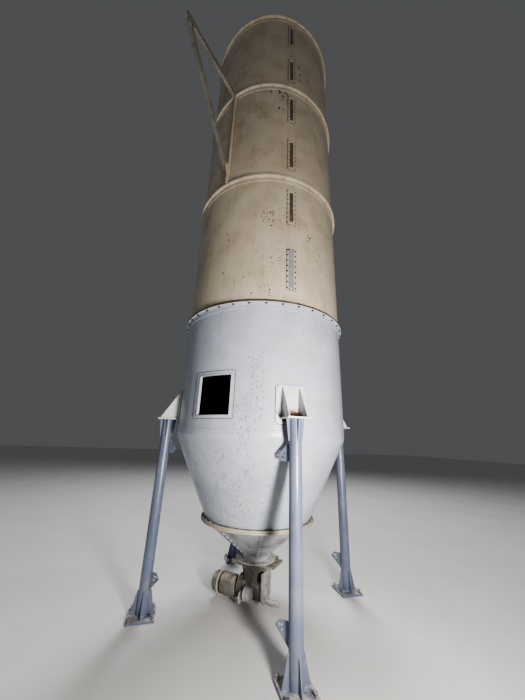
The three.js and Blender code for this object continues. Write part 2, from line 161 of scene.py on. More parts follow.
def paintPits(tree, place, entry):
    # chips and pits, thick near some places and in loose patches elsewhere
    wobble = cloud(tree, place, 90.0, 2.0, part="Color")
    longer = vectorCalc(tree, "MULTIPLY", place, vectorOf(tree, 1.0, 1.0, entry["Stretch"]))
    moved = vectorCalc(tree, "MULTIPLY_ADD", wobble, (0.008, 0.008, 0.008), longer)
    cells = addNode(tree, "ShaderNodeTexVoronoi", {"Vector": moved, "Scale": entry["Scale"]}).outputs
    chance = addNode(tree, "ShaderNodeSeparateColor", {0: cells["Color"]}).outputs
    patches = ramp(tree, cloud(tree, place, 1.9, 3.0), 0.42, 0.62)
    wanted = calc(tree, "MULTIPLY_ADD", entry["Near"], entry["Boost"], times(tree, patches, entry["Share"]))
    size = times(tree, entry["Size"], calc(tree, "MULTIPLY_ADD", chance[1], 0.8, 0.35))
    spot = ramp(tree, calc(tree, "DIVIDE", cells["Distance"], size), 0.6, 1.0, 1.0, 0.0)
    mask = times(tree, spot, calc(tree, "LESS_THAN", chance[0], wanted))
    return {"Mask": mask, "Height": times(tree, mask, -1.0)}


def oldStains(tree, place, entry):
    # soft old blotches, and the dirt that lies along the lower edge of each ring section
    cut = entry["Cut"]
    soft = ramp(tree, cloud(tree, place, entry["Scale"], 7.0, 0.62), cut, calc(tree, "ADD", cut, 0.2))
    fromRing = calc(tree, "SUBTRACT", heightOf(tree, place), entry["First Ring"])
    above = calc(tree, "FLOORED_MODULO", fromRing, entry["Pitch"])
    low = ramp(tree, calc(tree, "DIVIDE", above, entry["Band"]), 0.1, 1.0, 1.0, 0.0)
    longer = vectorCalc(tree, "MULTIPLY", place, (1.0, 1.0, 0.35))
    ragged = ramp(tree, cloud(tree, longer, 11.0, 6.0, 0.7), 0.38, 0.62)
    band = times(tree, low, ragged, entry["Band Amount"])
    return {"Mask": calc(tree, "MAXIMUM", times(tree, soft, entry["Amount"]), band)}


def flourDust(tree, place, entry):
    upward = heightOf(tree, addNode(tree, "ShaderNodeNewGeometry").outputs["Normal"])
    broken = ramp(tree, cloud(tree, place, entry["Scale"], 6.0, 0.65), 0.36, 0.6)
    film = times(tree, ramp(tree, cloud(tree, place, 2.1, 5.0, 0.6), 0.4, 0.75), entry["Film"])
    settled = times(tree, ramp(tree, upward, 0.35, 0.9), broken, entry["Amount"])
    mask = calc(tree, "ADD", settled, film, clamp=True)
    return {"Mask": mask, "Height": times(tree, mask, cloud(tree, place, 420.0, 3.0))}


def rundown(tree, place, entry):
    longer = vectorCalc(tree, "MULTIPLY", place, vectorOf(tree, 1.0, 1.0, entry["Stretch"]))
    lines = cloud(tree, longer, times(tree, entry["Scale"], 4.0), 5.0, 0.6)
    patches = ramp(tree, cloud(tree, place, 1.7, 3.0), 0.4, 0.7)
    cut = entry["Cut"]
    return {"Mask": times(tree, ramp(tree, lines, cut, calc(tree, "ADD", cut, 0.16)), patches)}


def edgeWear(tree, place, entry):
    rounded = addNode(tree, "ShaderNodeBevel", {"Radius": entry["Reach"]}, samples=4).outputs[0]
    flat = addNode(tree, "ShaderNodeNewGeometry").outputs["Normal"]
    edge = ramp(tree, vectorCalc(tree, "DOT_PRODUCT", rounded, flat, part="Value"), 0.97, 0.8)
    broken = ramp(tree, cloud(tree, place, 46.0, 5.0, 0.7), 0.42, 0.6)
    return {"Mask": times(tree, edge, broken, entry["Amount"])}


def rustBloom(tree, place, entry):
    body = cloud(tree, place, entry["Scale"], 7.0, 0.68)
    fine = cloud(tree, place, times(tree, entry["Scale"], 7.0), 5.0, 0.7)
    cut = entry["Cut"]
    mask = times(tree, ramp(tree, body, cut, calc(tree, "ADD", cut, 0.1)), entry["Near"])
    shade = colourRamp(tree, fine, [(0.3, (0.055, 0.022, 0.012)), (0.72, (0.33, 0.13, 0.045))])
    return {"Color": shade, "Mask": mask, "Height": times(tree, mask, fine)}


def rolledSheet(tree, place, entry):
    # the sheet's slow waves and small dents, the paint's peel, and where its tone changes
    wide = cloud(tree, vectorCalc(tree, "MULTIPLY", place, (1.0, 1.0, 0.45)), 2.6, 2.0, 0.4)
    waves = calc(tree, "MULTIPLY_ADD", cloud(tree, place, 9.0, 2.0, 0.4), 0.18, wide)
    peel = cloud(tree, place, 330.0, 2.0, 0.5)
    height = calc(tree, "MULTIPLY_ADD", peel, 0.012, times(tree, waves, entry["Dents"]))
    return {"Height": height, "Shade": cloud(tree, place, 3.4, 6.0, 0.62)}


shaderGroup("pits", paintPits, {
    "Scale": 60.0, "Share": 0.05, "Size": 0.3, "Stretch": 1.0, "Near": 0.0, "Boost": 0.0})
shaderGroup("stains", oldStains, {
    "Scale": 3.0, "Cut": 0.5, "Amount": 0.5, "Band": 0.05, "Band Amount": 0.0,
    "First Ring": ringZ[0] * 0.001, "Pitch": silo["ringPitch"] * 0.001})
shaderGroup("dust", flourDust, {"Scale": 8.0, "Amount": 0.6, "Film": 0.1})
shaderGroup("rundown", rundown, {"Scale": 6.0, "Stretch": 0.06, "Cut": 0.55})
shaderGroup("wear", edgeWear, {"Reach": 0.004, "Amount": 0.6})
shaderGroup("rust", rustBloom, {"Scale": 14.0, "Cut": 0.5, "Near": 1.0})
shaderGroup("sheet", rolledSheet, {"Dents": 1.0})
print("stage: shader groups", len(groups))


def placeGroup(tree, key, values):
    return addNode(tree, "ShaderNodeGroup", values, node_tree=groups[key]).outputs


nearCore = 0.4      # share of the reach within which a place has its full effect


def nearness(tree, places, reach):
    # 1 close to any of the places, fading out to 0 at the reach
    here = objectPlace(tree)
    near = 0.0
    for spot in places:
        away = vectorCalc(tree, "DISTANCE", here, spot, part="Value")
        near = calc(tree, "MAXIMUM", ramp(tree, away, reach * nearCore, reach, 1.0, 0.0), near)
    return near


def placeMarks(tree, key, layer):
    # a group whose marks gather round the layer's places, where it has any
    inputs = {label: value for label, value in layer.items() if label not in ("places", "reach")}
    if "places" in layer:
        inputs["Near"] = nearness(tree, layer["places"], layer["reach"])
    return placeGroup(tree, key, inputs)


def newMaterial(name):
    material = bpy.data.materials.new(name)
    material.use_nodes = True
    return material, material.node_tree, material.node_tree.nodes["Principled BSDF"]


def bumped(tree, height, strength, distance):
    inputs = {"Height": height, "Strength": strength, "Distance": distance}
    return addNode(tree, "ShaderNodeBump", inputs).outputs[0]


coat = {     # what all the paints share
    "pitShare": 0.92, "flourShare": 0.85, "rustHeight": 0.12, "pitHeight": 0.06, "flourHeight": 0.06,
    "smoother": 0.06, "rougher": 0.1, "mattDirt": 0.35, "mattWear": 0.12, "bump": 0.55, "bumpDepth": 0.012,
}


def paintedMetal(name, look):
    material, tree, principled = newMaterial(name)
    sheet = placeGroup(tree, "sheet", {"Dents": look["dents"]})
    base = blend(tree, ramp(tree, sheet["Shade"], 0.36, 0.64), look["colour"], look["shade"])
    layers = {key: placeGroup(tree, key, look[key]) for key in ("stains", "rundown", "wear", "dust")}
    stains, worn, flour = (layers[key]["Mask"] for key in ("stains", "wear", "dust"))
    base = blend(tree, stains, base, look["stain"])
    base = blend(tree, times(tree, layers["rundown"]["Mask"], look["runShare"]), base, look["dirt"])
    height = sheet["Height"]
    if "rust" in look:
        bloom = placeMarks(tree, "rust", look["rust"])
        base = blend(tree, bloom["Mask"], base, bloom["Color"])
        height = calc(tree, "MULTIPLY_ADD", bloom["Height"], coat["rustHeight"], height)
    for layer in look["pits"]:
        spots = placeMarks(tree, "pits", layer)
        base = blend(tree, times(tree, spots["Mask"], coat["pitShare"]), base, look["pit"])
        height = calc(tree, "MULTIPLY_ADD", spots["Height"], coat["pitHeight"], height)
    base = blend(tree, worn, base, look["under"])
    base = blend(tree, times(tree, flour, coat["flourShare"]), base, paleFlour)
    smooth, rough = look["roughness"] - coat["smoother"], look["roughness"] + coat["rougher"]
    gloss = ramp(tree, sheet["Shade"], 0.3, 0.75, smooth, rough)
    dirty = calc(tree, "MAXIMUM", flour, stains)
    matt = calc(tree, "MULTIPLY_ADD", dirty, coat["mattDirt"], gloss, clamp=True)
    height = calc(tree, "MULTIPLY_ADD", layers["dust"]["Height"], coat["flourHeight"], height)
    feed(tree, principled, {
        "Base Color": base,
        "Roughness": calc(tree, "MULTIPLY_ADD", worn, coat["mattWear"], matt, clamp=True),
        "Normal": bumped(tree, height, coat["bump"], coat["bumpDepth"])})
    return material


def onWall(azimuth, z):
    return inFrame(radial(azimuth, silo["radius"], z))


def onHopper(azimuth, z):
    slope = (silo["radius"] - silo["hopperLowRadius"]) / (silo["kneeZ"] - silo["hopperLowZ"])
    return inFrame(radial(azimuth, silo["hopperLowRadius"] + (z - silo["hopperLowZ"]) * slope, z))


paleFlour = (0.72, 0.68, 0.58)
shellPits = [onWall(azimuth, z) for azimuth, z in (
    (-18, 2310), (-18.5, 2180), (-19, 2060), (-17.8, 1950), (-19, 1840), (-24, 1790), (-25, 1880))]
hopperPits = [onHopper(azimuth, z) for azimuth, z in (
    (-36, 1520), (-28, 1500), (-31.7, 1260), (-29.4, 1090), (-21.5, 1356), (-44, 1063), (-47, 930),
    (-44, 1425))]
upperMarks = [onWall(azimuth, z) for azimuth, z in (
    (-13.1, 4173), (-13.5, 4058), (-18.2, 4094), (10.7, 4082), (14.8, 3946), (-10.0, 3524),
    (-14.5, 3146), (-28.2, 6071), (-24, 5880))]
brownMarks = [onWall(azimuth, z) for azimuth, z in ((-10.4, 6099), (-9.8, 6330), (9.5, 6950))]
# rust on the front pad just above the seat, spread wide enough to paint in the seat's shadow there too
rustAndShadeAboveSeat = [inFrame(radial(azimuth, 1020, 1826)) for azimuth in (-2, 2)]


def stains(scale, cut, amount, band=0.05, bandAmount=0.0):
    return {"Scale": scale, "Cut": cut, "Amount": amount, "Band": band, "Band Amount": bandAmount}


def runs(scale, stretch, cut):
    return {"Scale": scale, "Stretch": stretch, "Cut": cut}


def dust(scale, amount, film):
    return {"Scale": scale, "Amount": amount, "Film": film}


def wear(reach, amount):
    return {"Reach": reach, "Amount": amount}


def pits(scale, share, size, boost=0.0, stretch=1.0, **near):
    return {"Scale": scale, "Share": share, "Size": size, "Boost": boost, "Stretch": stretch, **near}


looks = {
    "whitePaint": {
        "colour": (0.455, 0.49, 0.565), "shade": (0.405, 0.437, 0.50), "dirt": (0.15, 0.137, 0.123),
        "stain": (0.40, 0.395, 0.385), "pit": (0.15, 0.14, 0.135), "under": (0.36, 0.34, 0.31),
        "roughness": 0.29, "dents": 1.0, "runShare": 0.45, "stains": stains(2.6, 0.5, 0.25),
        "rundown": runs(5.0, 0.05, 0.56), "dust": dust(7.0, 0.6, 0.06), "wear": wear(0.003, 0.5),
        "pits": [pits(62.0, 0.02, 0.38, 1.1, 0.5, places=shellPits, reach=0.16),
                 pits(58.0, 0.03, 0.36, 0.8, 0.7, places=hopperPits, reach=0.26),
                 pits(75.0, 0.07, 0.36)],
    },
    "creamPaint": {
        "colour": (0.56, 0.49, 0.395), "shade": (0.50, 0.435, 0.34), "dirt": (0.22, 0.16, 0.10),
        "stain": (0.36, 0.28, 0.18), "pit": (0.06, 0.042, 0.03), "under": (0.33, 0.28, 0.20),
        "roughness": 0.4, "dents": 1.2, "runShare": 0.3, "stains": stains(3.4, 0.48, 0.17, 0.08, 0.6),
        "rundown": runs(4.0, 0.05, 0.53), "dust": dust(5.0, 0.6, 0.16), "wear": wear(0.003, 0.4),
        "pits": [pits(34.0, 0.02, 0.42, 0.9, places=upperMarks, reach=0.09),
                 pits(60.0, 0.05, 0.38, 0.5, places=upperMarks, reach=0.17),
                 pits(26.0, 0.0, 0.46, 0.7, 0.5, places=brownMarks, reach=0.22)],
    },
    "ringPaint": {
        "colour": (0.56, 0.50, 0.415), "shade": (0.48, 0.425, 0.35), "dirt": (0.24, 0.18, 0.11),
        "stain": (0.42, 0.33, 0.21), "pit": (0.10, 0.08, 0.06), "under": (0.36, 0.31, 0.24),
        "roughness": 0.45, "dents": 0.4, "runShare": 0.5, "stains": stains(7.0, 0.5, 0.5),
        "rundown": runs(9.0, 0.4, 0.56), "dust": dust(10.0, 0.85, 0.12), "wear": wear(0.004, 0.7),
        "pits": [pits(60.0, 0.10, 0.3)],
    },
    "legPaint": {
        "colour": (0.175, 0.205, 0.29), "shade": (0.145, 0.17, 0.245), "dirt": (0.10, 0.09, 0.08),
        "stain": (0.30, 0.30, 0.29), "pit": (0.06, 0.055, 0.05), "under": (0.42, 0.40, 0.37),
        "roughness": 0.3, "dents": 0.25, "runShare": 0.5, "stains": stains(6.0, 0.52, 0.4),
        "rundown": runs(12.0, 0.08, 0.58), "dust": dust(14.0, 0.8, 0.08), "wear": wear(0.004, 0.8),
        "pits": [pits(48.0, 0.13, 0.26)],
    },
    "bracketPaint": {
        "colour": (0.60, 0.62, 0.635), "shade": (0.53, 0.54, 0.545), "dirt": (0.21, 0.16, 0.11),
        "stain": (0.46, 0.41, 0.34), "pit": (0.10, 0.08, 0.06), "under": (0.36, 0.28, 0.2),
        "roughness": 0.38, "dents": 0.3, "runShare": 0.5, "stains": stains(8.0, 0.5, 0.4),
        "rundown": runs(10.0, 0.08, 0.56), "dust": dust(12.0, 0.35, 0.08), "wear": wear(0.004, 0.7),
        "pits": [pits(60.0, 0.14, 0.28)],
        # rust above the seat, with the seat's shadow on the pad painted in as rust colour
        "rust": {"Scale": 15.0, "Cut": 0.34, "places": rustAndShadeAboveSeat, "reach": 0.095},
    },
    # the feeder's dark cast paint, darkened further to paint in the leg's shadow over the feeder
    "castPaintAndShade": {
        "colour": (0.22, 0.212, 0.192), "shade": (0.13, 0.122, 0.106), "dirt": (0.06, 0.046, 0.035),
        "stain": (0.10, 0.078, 0.058), "pit": (0.03, 0.024, 0.019), "under": (0.22, 0.20, 0.175),
        "roughness": 0.5, "dents": 0.5, "runShare": 0.7, "stains": stains(8.0, 0.46, 0.75),
        "rundown": runs(12.0, 0.3, 0.5), "dust": dust(11.0, 0.9, 0.08), "wear": wear(0.005, 0.8),
        "pits": [pits(50.0, 0.25, 0.36)], "rust": {"Scale": 9.0, "Cut": 0.65},
    },
    "conePaint": {
        "colour": (0.43, 0.45, 0.49), "shade": (0.33, 0.34, 0.37), "dirt": (0.10, 0.085, 0.07),
        "stain": (0.21, 0.19, 0.165), "pit": (0.07, 0.06, 0.05), "under": (0.34, 0.31, 0.27),
        "roughness": 0.4, "dents": 0.8, "runShare": 0.75, "stains": stains(7.0, 0.47, 0.6),
        "rundown": runs(9.0, 0.3, 0.5), "dust": dust(9.0, 0.9, 0.15), "wear": wear(0.004, 0.7),
        "pits": [pits(45.0, 0.2, 0.34)],
    },
    # the console's grey steel, darkened further as painted shade high up on the silo
    "consolePaintAndShade": {
        "colour": (0.28, 0.272, 0.245), "shade": (0.21, 0.20, 0.175), "dirt": (0.10, 0.075, 0.05),
        "stain": (0.15, 0.125, 0.09), "pit": (0.07, 0.05, 0.04), "under": (0.30, 0.25, 0.2),
        "roughness": 0.5, "dents": 0.3, "runShare": 0.6, "stains": stains(7.0, 0.48, 0.6),
        "rundown": runs(12.0, 0.1, 0.52), "dust": dust(10.0, 0.9, 0.12), "wear": wear(0.004, 0.8),
        "pits": [pits(50.0, 0.2, 0.3)],
    },
    # the inside walls, nearly black: painted shade for the dark inside of the silo, seen through the hatch
    "innerWallShade": {
        "colour": (0.075, 0.066, 0.055), "shade": (0.05, 0.043, 0.035), "dirt": (0.03, 0.025, 0.02),
        "stain": (0.035, 0.03, 0.024), "pit": (0.02, 0.017, 0.014), "under": (0.09, 0.08, 0.07),
        "roughness": 0.72, "dents": 0.8, "runShare": 0.7, "stains": stains(3.0, 0.45, 0.6, 0.2, 0.5),
        "rundown": runs(5.0, 0.05, 0.5), "dust": dust(6.0, 0.6, 0.05), "wear": wear(0.002, 0.2),
        "pits": [pits(30.0, 0.2, 0.4)],
    },
}


def makeSteel(name, bright, dull, rustCut, flourShare, metal, rough):
    material, tree, principled = newMaterial(name)
    flakes = cloud(tree, objectPlace(tree), 120.0, 4.0, 0.6)
    bloom = placeGroup(tree, "rust", {"Scale": 30.0, "Cut": rustCut})
    flour = placeGroup(tree, "dust", dust(30.0, flourShare, 0.06))["Mask"]
    base = blend(tree, ramp(tree, flakes, 0.35, 0.65), bright, dull)
    base = blend(tree, flour, blend(tree, bloom["Mask"], base, bloom["Color"]), paleFlour)
    covered = calc(tree, "MAXIMUM", bloom["Mask"], flour)
    feed(tree, principled, {
        "Base Color": base, "Roughness": calc(tree, "MULTIPLY_ADD", covered, 0.4, rough, clamp=True),
        "Metallic": calc(tree, "SUBTRACT", metal, covered, clamp=True),
        "Normal": bumped(tree, calc(tree, "ADD", flakes, bloom["Height"]), 0.3, 0.002)})
    return material


def makeBlankPlate():
    material, tree, principled = newMaterial("blankPlate")
    long = vectorCalc(tree, "MULTIPLY", objectPlace(tree), (1.0, 1.0, 0.12))
    wipe = cloud(tree, long, 60.0, 5.0, 0.6)
    base = blend(tree, ramp(tree, wipe, 0.3, 0.7), (0.34, 0.365, 0.43), (0.44, 0.455, 0.50))
    spots = placeGroup(tree, "pits", pits(90.0, 0.15, 0.3))
    feed(tree, principled, {
        "Base Color": blend(tree, spots["Mask"], base, (0.13, 0.12, 0.11)), "Metallic": 0.35,
        "Roughness": ramp(tree, wipe, 0.3, 0.7, 0.35, 0.55), "Normal": bumped(tree, wipe, 0.2, 0.001)})
    return material


def makePane():
    material, tree, principled = newMaterial("cakedPane")
    long = vectorCalc(tree, "MULTIPLY", objectPlace(tree), (1.0, 1.0, 0.5))
    cakes = cloud(tree, long, 38.0, 7.0, 0.7)
    shade = colourRamp(tree, cakes, [
        (0.38, (0.075, 0.062, 0.05)), (0.72, (0.30, 0.235, 0.16)), (0.55, (0.17, 0.137, 0.105))])
    feed(tree, principled, {
        "Base Color": shade, "Roughness": ramp(tree, cakes, 0.35, 0.7, 0.18, 0.75),
        "Coat Weight": 0.5, "Coat Roughness": 0.12, "Normal": bumped(tree, cakes, 0.4, 0.002)})
    return material


def makeFlour():
    material, tree, principled = newMaterial("flour")
    place = objectPlace(tree)
    lumps = cloud(tree, place, 70.0, 7.0, 0.7)
    feed(tree, principled, {
        "Base Color": blend(tree, ramp(tree, lumps, 0.35, 0.7), paleFlour, (0.50, 0.44, 0.34)),
        "Roughness": 0.95, "Subsurface Weight": 0.15,
        "Normal": bumped(tree, cloud(tree, place, 260.0, 6.0, 0.75), 0.8, 0.004)})
    return material


def makeSealant():
    material, tree, principled = newMaterial("sealant")
    place = objectPlace(tree)
    smear = cloud(tree, place, 35.0, 5.0, 0.65)
    feed(tree, principled, {
        "Base Color": blend(tree, ramp(tree, smear, 0.35, 0.7), (0.04, 0.034, 0.028), (0.13, 0.11, 0.09)),
        "Roughness": ramp(tree, smear, 0.3, 0.7, 0.45, 0.75),
        "Normal": bumped(tree, cloud(tree, place, 120.0, 4.0), 0.5, 0.002)})
    return material


finishes = {name: paintedMetal(name, look) for name, look in looks.items()}
finishes.update({
    "steel": makeSteel("zincSteel", (0.42, 0.43, 0.44), (0.28, 0.28, 0.28), 0.54, 0.9, 0.9, 0.42),
    "darkScrew": makeSteel("darkScrew", (0.05, 0.046, 0.042), (0.024, 0.022, 0.02), 0.8, 0.05, 0.1, 0.7),
    "plate": makeBlankPlate(),
    "pane": makePane(),
    "flour": makeFlour(),
    "sealant": makeSealant(),
})
print("stage: materials", len(finishes))


# the shape helpers work in millimetres round the silo's axis
def skin(shape, loops, part=0, closed=True):
    # quads between each loop and the next, and where closed also from the last to the first
    for i in range(len(loops) if closed else len(loops) - 1):
        lower, upper = loops[i], loops[(i + 1) % len(loops)]
        for k in range(len(lower)):
            after = (k + 1) % len(lower)
            corners = dict.fromkeys((lower[k], lower[after], upper[after], upper[k]))
            shape.faces.new(list(corners)).material_index = part


def turned(shape, profile, sides, spot, part):
    # a turned shape from [radius, z] points, closed unless they start and end on the axis
    loops = []
    for r, z in profile:
        if r < 1e-6:
            loops.append([shape.verts.new(spot(0, 0, z))] * sides)
        else:
            loops.append([shape.verts.new(spot(k / sides, r, z)) for k in range(sides)])
    skin(shape, loops, part, closed=profile[0][0] > 1e-6)


def lathe(shape, profile, part=0, segments=silo["segments"]):
    turned(shape, profile, segments, lambda share, r, z: radial(360.0 * share, r, z), part)


def turnedBar(shape, profile, at, sides=64, part=0):
    # turned round the local z axis
    def spot(share, r, z):
        a = 2 * math.pi * share
        return at @ Vector((r * math.cos(a), r * math.sin(a), z))
    turned(shape, profile, sides, spot, part)


def lifted(at, z):
    return at @ Matrix.Translation((0, 0, z))


def rectangle(left, low, right, high):
    return [(left, low), (right, low), (right, high), (left, high)]


def flangeProfile(bore, outer, low, high, edge):
    # half a disc's section, with its outer edges broken
    return [(bore, low), (outer - edge, low), (outer, low + edge), (outer, high - edge), (outer - edge, high),
            (bore, high)]


def prism(shape, outline, depth, at, part=0):
    low, high = ([shape.verts.new(at @ Vector((x, y, z))) for x, y in outline] for z in (0, depth))
    for corners in (low[::-1], high):
        shape.faces.new(corners).material_index = part
    skin(shape, [low, high], part, closed=False)


def box(shape, low, high, at):
    prism(shape, rectangle(*low[:2], *high[:2]), high[2] - low[2], lifted(at, low[2]))


def bar(shape, radius, start, end, at, sides=48, part=0, inner=0.0):
    # a round bar or tube along the local z axis
    turns = [2 * math.pi * k / sides for k in range(sides)]
    outer = [(radius * math.cos(a), radius * math.sin(a)) for a in turns]
    if inner:
        bore = inner / radius
        skin(shape, [[shape.verts.new(at @ Vector((x * size, y * size, z))) for x, y in outer]
                     for size, z in ((1, start), (1, end), (bore, end), (bore, start))], part)
    else:
        prism(shape, outer, end - start, lifted(at, start), part)


def uprightAt(azimuth, sideways=0.0):
    # local x runs outwards, y upwards, z towards smaller azimuths
    outwards = radial(azimuth, 1)
    side = outwards.cross(Vector((0, 0, 1)))
    frameMatrix = Matrix((outwards, Vector((0, 0, 1)), side)).transposed().to_4x4()
    return Matrix.Translation(side * -sideways) @ frameMatrix


def roundedOutline(width, low, high, corner, across=14, steps=5):
    # lower and upper heights at each station across a rounded plate
    half = width / 2
    stations = []
    for k in range(steps + 1):
        a = math.pi / 2 * k / steps
        stations.append((-half + corner * (1 - math.cos(a)), corner * (1 - math.sin(a))))
    for k in range(1, across):
        stations.append((-half + corner + (width - 2 * corner) * k / across, 0.0))
    stations += [(-x, drop) for x, drop in stations[steps::-1]]
    return [(x, low + drop, high - drop) for x, drop in stations]


def wrapped(azimuth, x, radius, z):
    return radial(azimuth + math.degrees(x / silo["radius"]), radius, z)


def wrappedPlate(shape, azimuth, stations, inner, outer, part=0):
    columns = [[shape.verts.new(wrapped(azimuth, x, r, z)) for r in (inner, outer) for z in (low, high)]
               for x, low, high in stations]
    for a, b in zip(columns, columns[1:]):
        for p, q in ((0, 1), (3, 2), (1, 3), (2, 0)):
            shape.faces.new((a[p], a[q], b[q], b[p])).material_index = part
    for column in (columns[0], columns[-1]):
        shape.faces.new((column[0], column[1], column[3], column[2])).material_index = part


def wrappedLoft(shape, loops):
    # a closed ring of plate round an opening, from loops of (stations, azimuth, radius)
    rows = []
    for stations, azimuth, radius in loops:
        points = [wrapped(azimuth, x, radius, high) for x, low, high in stations]
        points += [wrapped(azimuth, x, radius, low) for x, low, high in reversed(stations)]
        rows.append([shape.verts.new(p) for p in points])
    skin(shape, rows)


def wrappedLoop(stations, azimuth, radius):
    # the outline of a wrapped plate as one path
    loop = [wrapped(azimuth, x, radius, low) for x, low, high in stations]
    return loop + [wrapped(azimuth, x, radius, high) for x, low, high in reversed(stations)]


def newObject(name, data):
    thing = bpy.data.objects.new(name, data)
    bpy.context.scene.collection.objects.link(thing)
    return thing


def meshOf(name, shape):
    mesh = bpy.data.meshes.new(name)
    shape.to_mesh(mesh)
    shape.free()
    return mesh


def bareObject(name, shape):
    bmesh.ops.recalc_face_normals(shape, faces=shape.faces)
    return newObject(name, meshOf(name, shape))


def evaluated(thing):
    return thing.evaluated_get(bpy.context.evaluated_depsgraph_get())


def cutShape(shape, cutter):
    body, tool = bareObject("cutBody", shape), bareObject("cutTool", cutter)
    modifier = body.modifiers.new("cut", "BOOLEAN")
    modifier.object = tool
    modifier.operation = "DIFFERENCE"
    modifier.solver = "EXACT"
    seen = evaluated(body)
    result = bmesh.new()
    result.from_mesh(seen.to_mesh())
    seen.to_mesh_clear()
    for thing in (body, tool):
        bpy.data.objects.remove(thing)
    return result


edgeLook = {"sharpAngle": 32.0, "bevelAngle": 38.0, "bevelSegments": 2}


def addPiece(name, shape, materials, replaced, bevel=0.0):
    piece = bareObject(name, shape)
    mesh = piece.data
    mesh.transform(placing)
    for key in materials:
        mesh.materials.append(finishes[key])
    mesh.shade_smooth()
    mesh.set_sharp_from_angle(angle=math.radians(edgeLook["sharpAngle"]))
    if bevel:
        modifier = piece.modifiers.new("softEdges", "BEVEL")
        modifier.width = bevel * 0.001
        modifier.segments = edgeLook["bevelSegments"]
        modifier.limit_method = "ANGLE"
        modifier.angle_limit = math.radians(edgeLook["bevelAngle"])
        modifier.use_clamp_overlap = True
    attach(piece, "root")
    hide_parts(*replaced)
    return piece


def gather(name, meshes):
    # one piece from many grown meshes, each already in the frame's place
    shape = bmesh.new()
    for mesh in meshes:
        shape.from_mesh(mesh)
    for face in shape.faces:
        face.material_index = 0
    piece = newObject(name, meshOf(name, shape))
    piece.data.materials.append(meshes[0].materials[-1])    # a grown primitive has an empty slot first
    for mesh in meshes:
        bpy.data.meshes.remove(mesh)
    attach(piece, "root")


trees = {}
socketKinds = {int: "NodeSocketInt", float: "NodeSocketFloat", tuple: "NodeSocketVector"}


def geometryTree(key, build, inputs, smooth=False):
    # a tree that realises, shades and paints what the function builds
    tree = bpy.data.node_groups.new(key, "GeometryNodeTree")
    for side in ("OUTPUT", "INPUT"):
        tree.interface.new_socket("Geometry", in_out=side, socket_type="NodeSocketGeometry")
    for label, value in inputs.items():
        tree.interface.new_socket(label, socket_type=socketKinds[type(value)]).default_value = value
    tree.interface.new_socket("Material", socket_type="NodeSocketMaterial")
    entry = tree.nodes.new("NodeGroupInput").outputs
    real = addNode(tree, "GeometryNodeRealizeInstances", {0: build(tree, entry)}).outputs[0]
    shaded = addNode(tree, "GeometryNodeSetShadeSmooth", {"Geometry": real, "Shade Smooth": smooth})
    painted = addNode(tree, "GeometryNodeSetMaterial", {
        "Geometry": shaded.outputs[0], "Material": entry["Material"]})
    feed(tree, tree.nodes.new("NodeGroupOutput"), {0: painted.outputs[0]})
    trees[key] = tree


def transformed(tree, geometry, **inputs):
    return addNode(tree, "GeometryNodeTransform", {"Geometry": geometry, **inputs}).outputs[0]


def instances(tree, points, instance, **inputs):
    inputs.update({"Points": points, "Instance": instance})
    return addNode(tree, "GeometryNodeInstanceOnPoints", inputs).outputs[0]


def cylinder(tree, sides, radius, depth, shiftZ):
    node = addNode(tree, "GeometryNodeMeshCylinder", {"Vertices": sides, "Radius": radius, "Depth": depth})
    return transformed(tree, node.outputs["Mesh"], Translation=vectorOf(tree, 0.0, 0.0, shiftZ))


def ball(tree, radius, segments):
    return addNode(tree, "GeometryNodeMeshUVSphere", {
        "Segments": segments, "Rings": 6, "Radius": radius}).outputs[0]


def joined(tree, parts):
    node = addNode(tree, "GeometryNodeJoinGeometry")
    for part in parts:
        feed(tree, node, {0: part})
    return node.outputs[0]


def randomValue(tree, low, high, seed):
    # the float version has its own sockets, further down the list
    inputs = {2: low, 3: high, "Seed": seed}
    return addNode(tree, "FunctionNodeRandomValue", inputs, data_type="FLOAT").outputs[1]


def scatterOn(tree, points, instance, seed):
    turn = randomValue(tree, -math.pi, math.pi, seed)
    return instances(tree, points, instance, Rotation=vectorOf(tree, 0.0, 0.0, turn))


# sizes of bolts and screws, as shares of the head's radius
boltShares = {"washerThick": 0.22, "headThick": 0.72, "washerRadius": 1.22, "studRadius": 0.5, "studEnd": 1.5}
screwShares = {"collarRadius": 1.35, "collarThick": 0.3, "collarRise": 0.1}


def boltParts(tree, entry):
    # washer and head above, washer, nut and the stud's end below
    radius, bottom = entry["Head Radius"], entry["Bottom"]
    washer, head, wide, stud, end = (times(tree, radius, share) for share in boltShares.values())
    half, headMiddle = times(tree, washer, 0.5), calc(tree, "MULTIPLY_ADD", head, 0.5, washer)
    parts = []
    for operation, face in (("ADD", entry["Top"]), ("SUBTRACT", bottom)):
        parts.append(cylinder(tree, 16, wide, washer, calc(tree, operation, face, half)))
        parts.append(cylinder(tree, 6, radius, head, calc(tree, operation, face, headMiddle)))
    parts.append(cylinder(tree, 10, stud, end, calc(tree, "SUBTRACT", bottom, times(tree, end, 0.5))))
    return joined(tree, parts)


def gridPoints(tree, entry):
    return addNode(tree, "GeometryNodeMeshGrid", {
        "Size X": entry["Width"], "Size Y": entry["Length"], "Vertices X": entry["Columns"],
        "Vertices Y": entry["Rows"]}).outputs[0]


def boltsInCircle(tree, entry):
    circle = addNode(tree, "GeometryNodeMeshCircle", {
        "Vertices": entry["Count"], "Radius": entry["Circle Radius"]})
    bolts = scatterOn(tree, circle.outputs[0], boltParts(tree, entry), 7)
    return transformed(tree, bolts, Rotation=vectorOf(tree, 0.0, 0.0, entry["Turn"]))


def boltsInGrid(tree, entry):
    return scatterOn(tree, gridPoints(tree, entry), boltParts(tree, entry), 3)


def screwsInGrid(tree, entry):
    # flat domes on thin collars
    radius = entry["Head Radius"]
    dome = transformed(tree, ball(tree, radius, 12), Scale=(1.0, 1.0, 0.5))
    wide, thin, rise = (times(tree, radius, share) for share in screwShares.values())
    screw = joined(tree, [dome, cylinder(tree, 14, wide, thin, rise)])
    return scatterOn(tree, gridPoints(tree, entry), screw, 5)


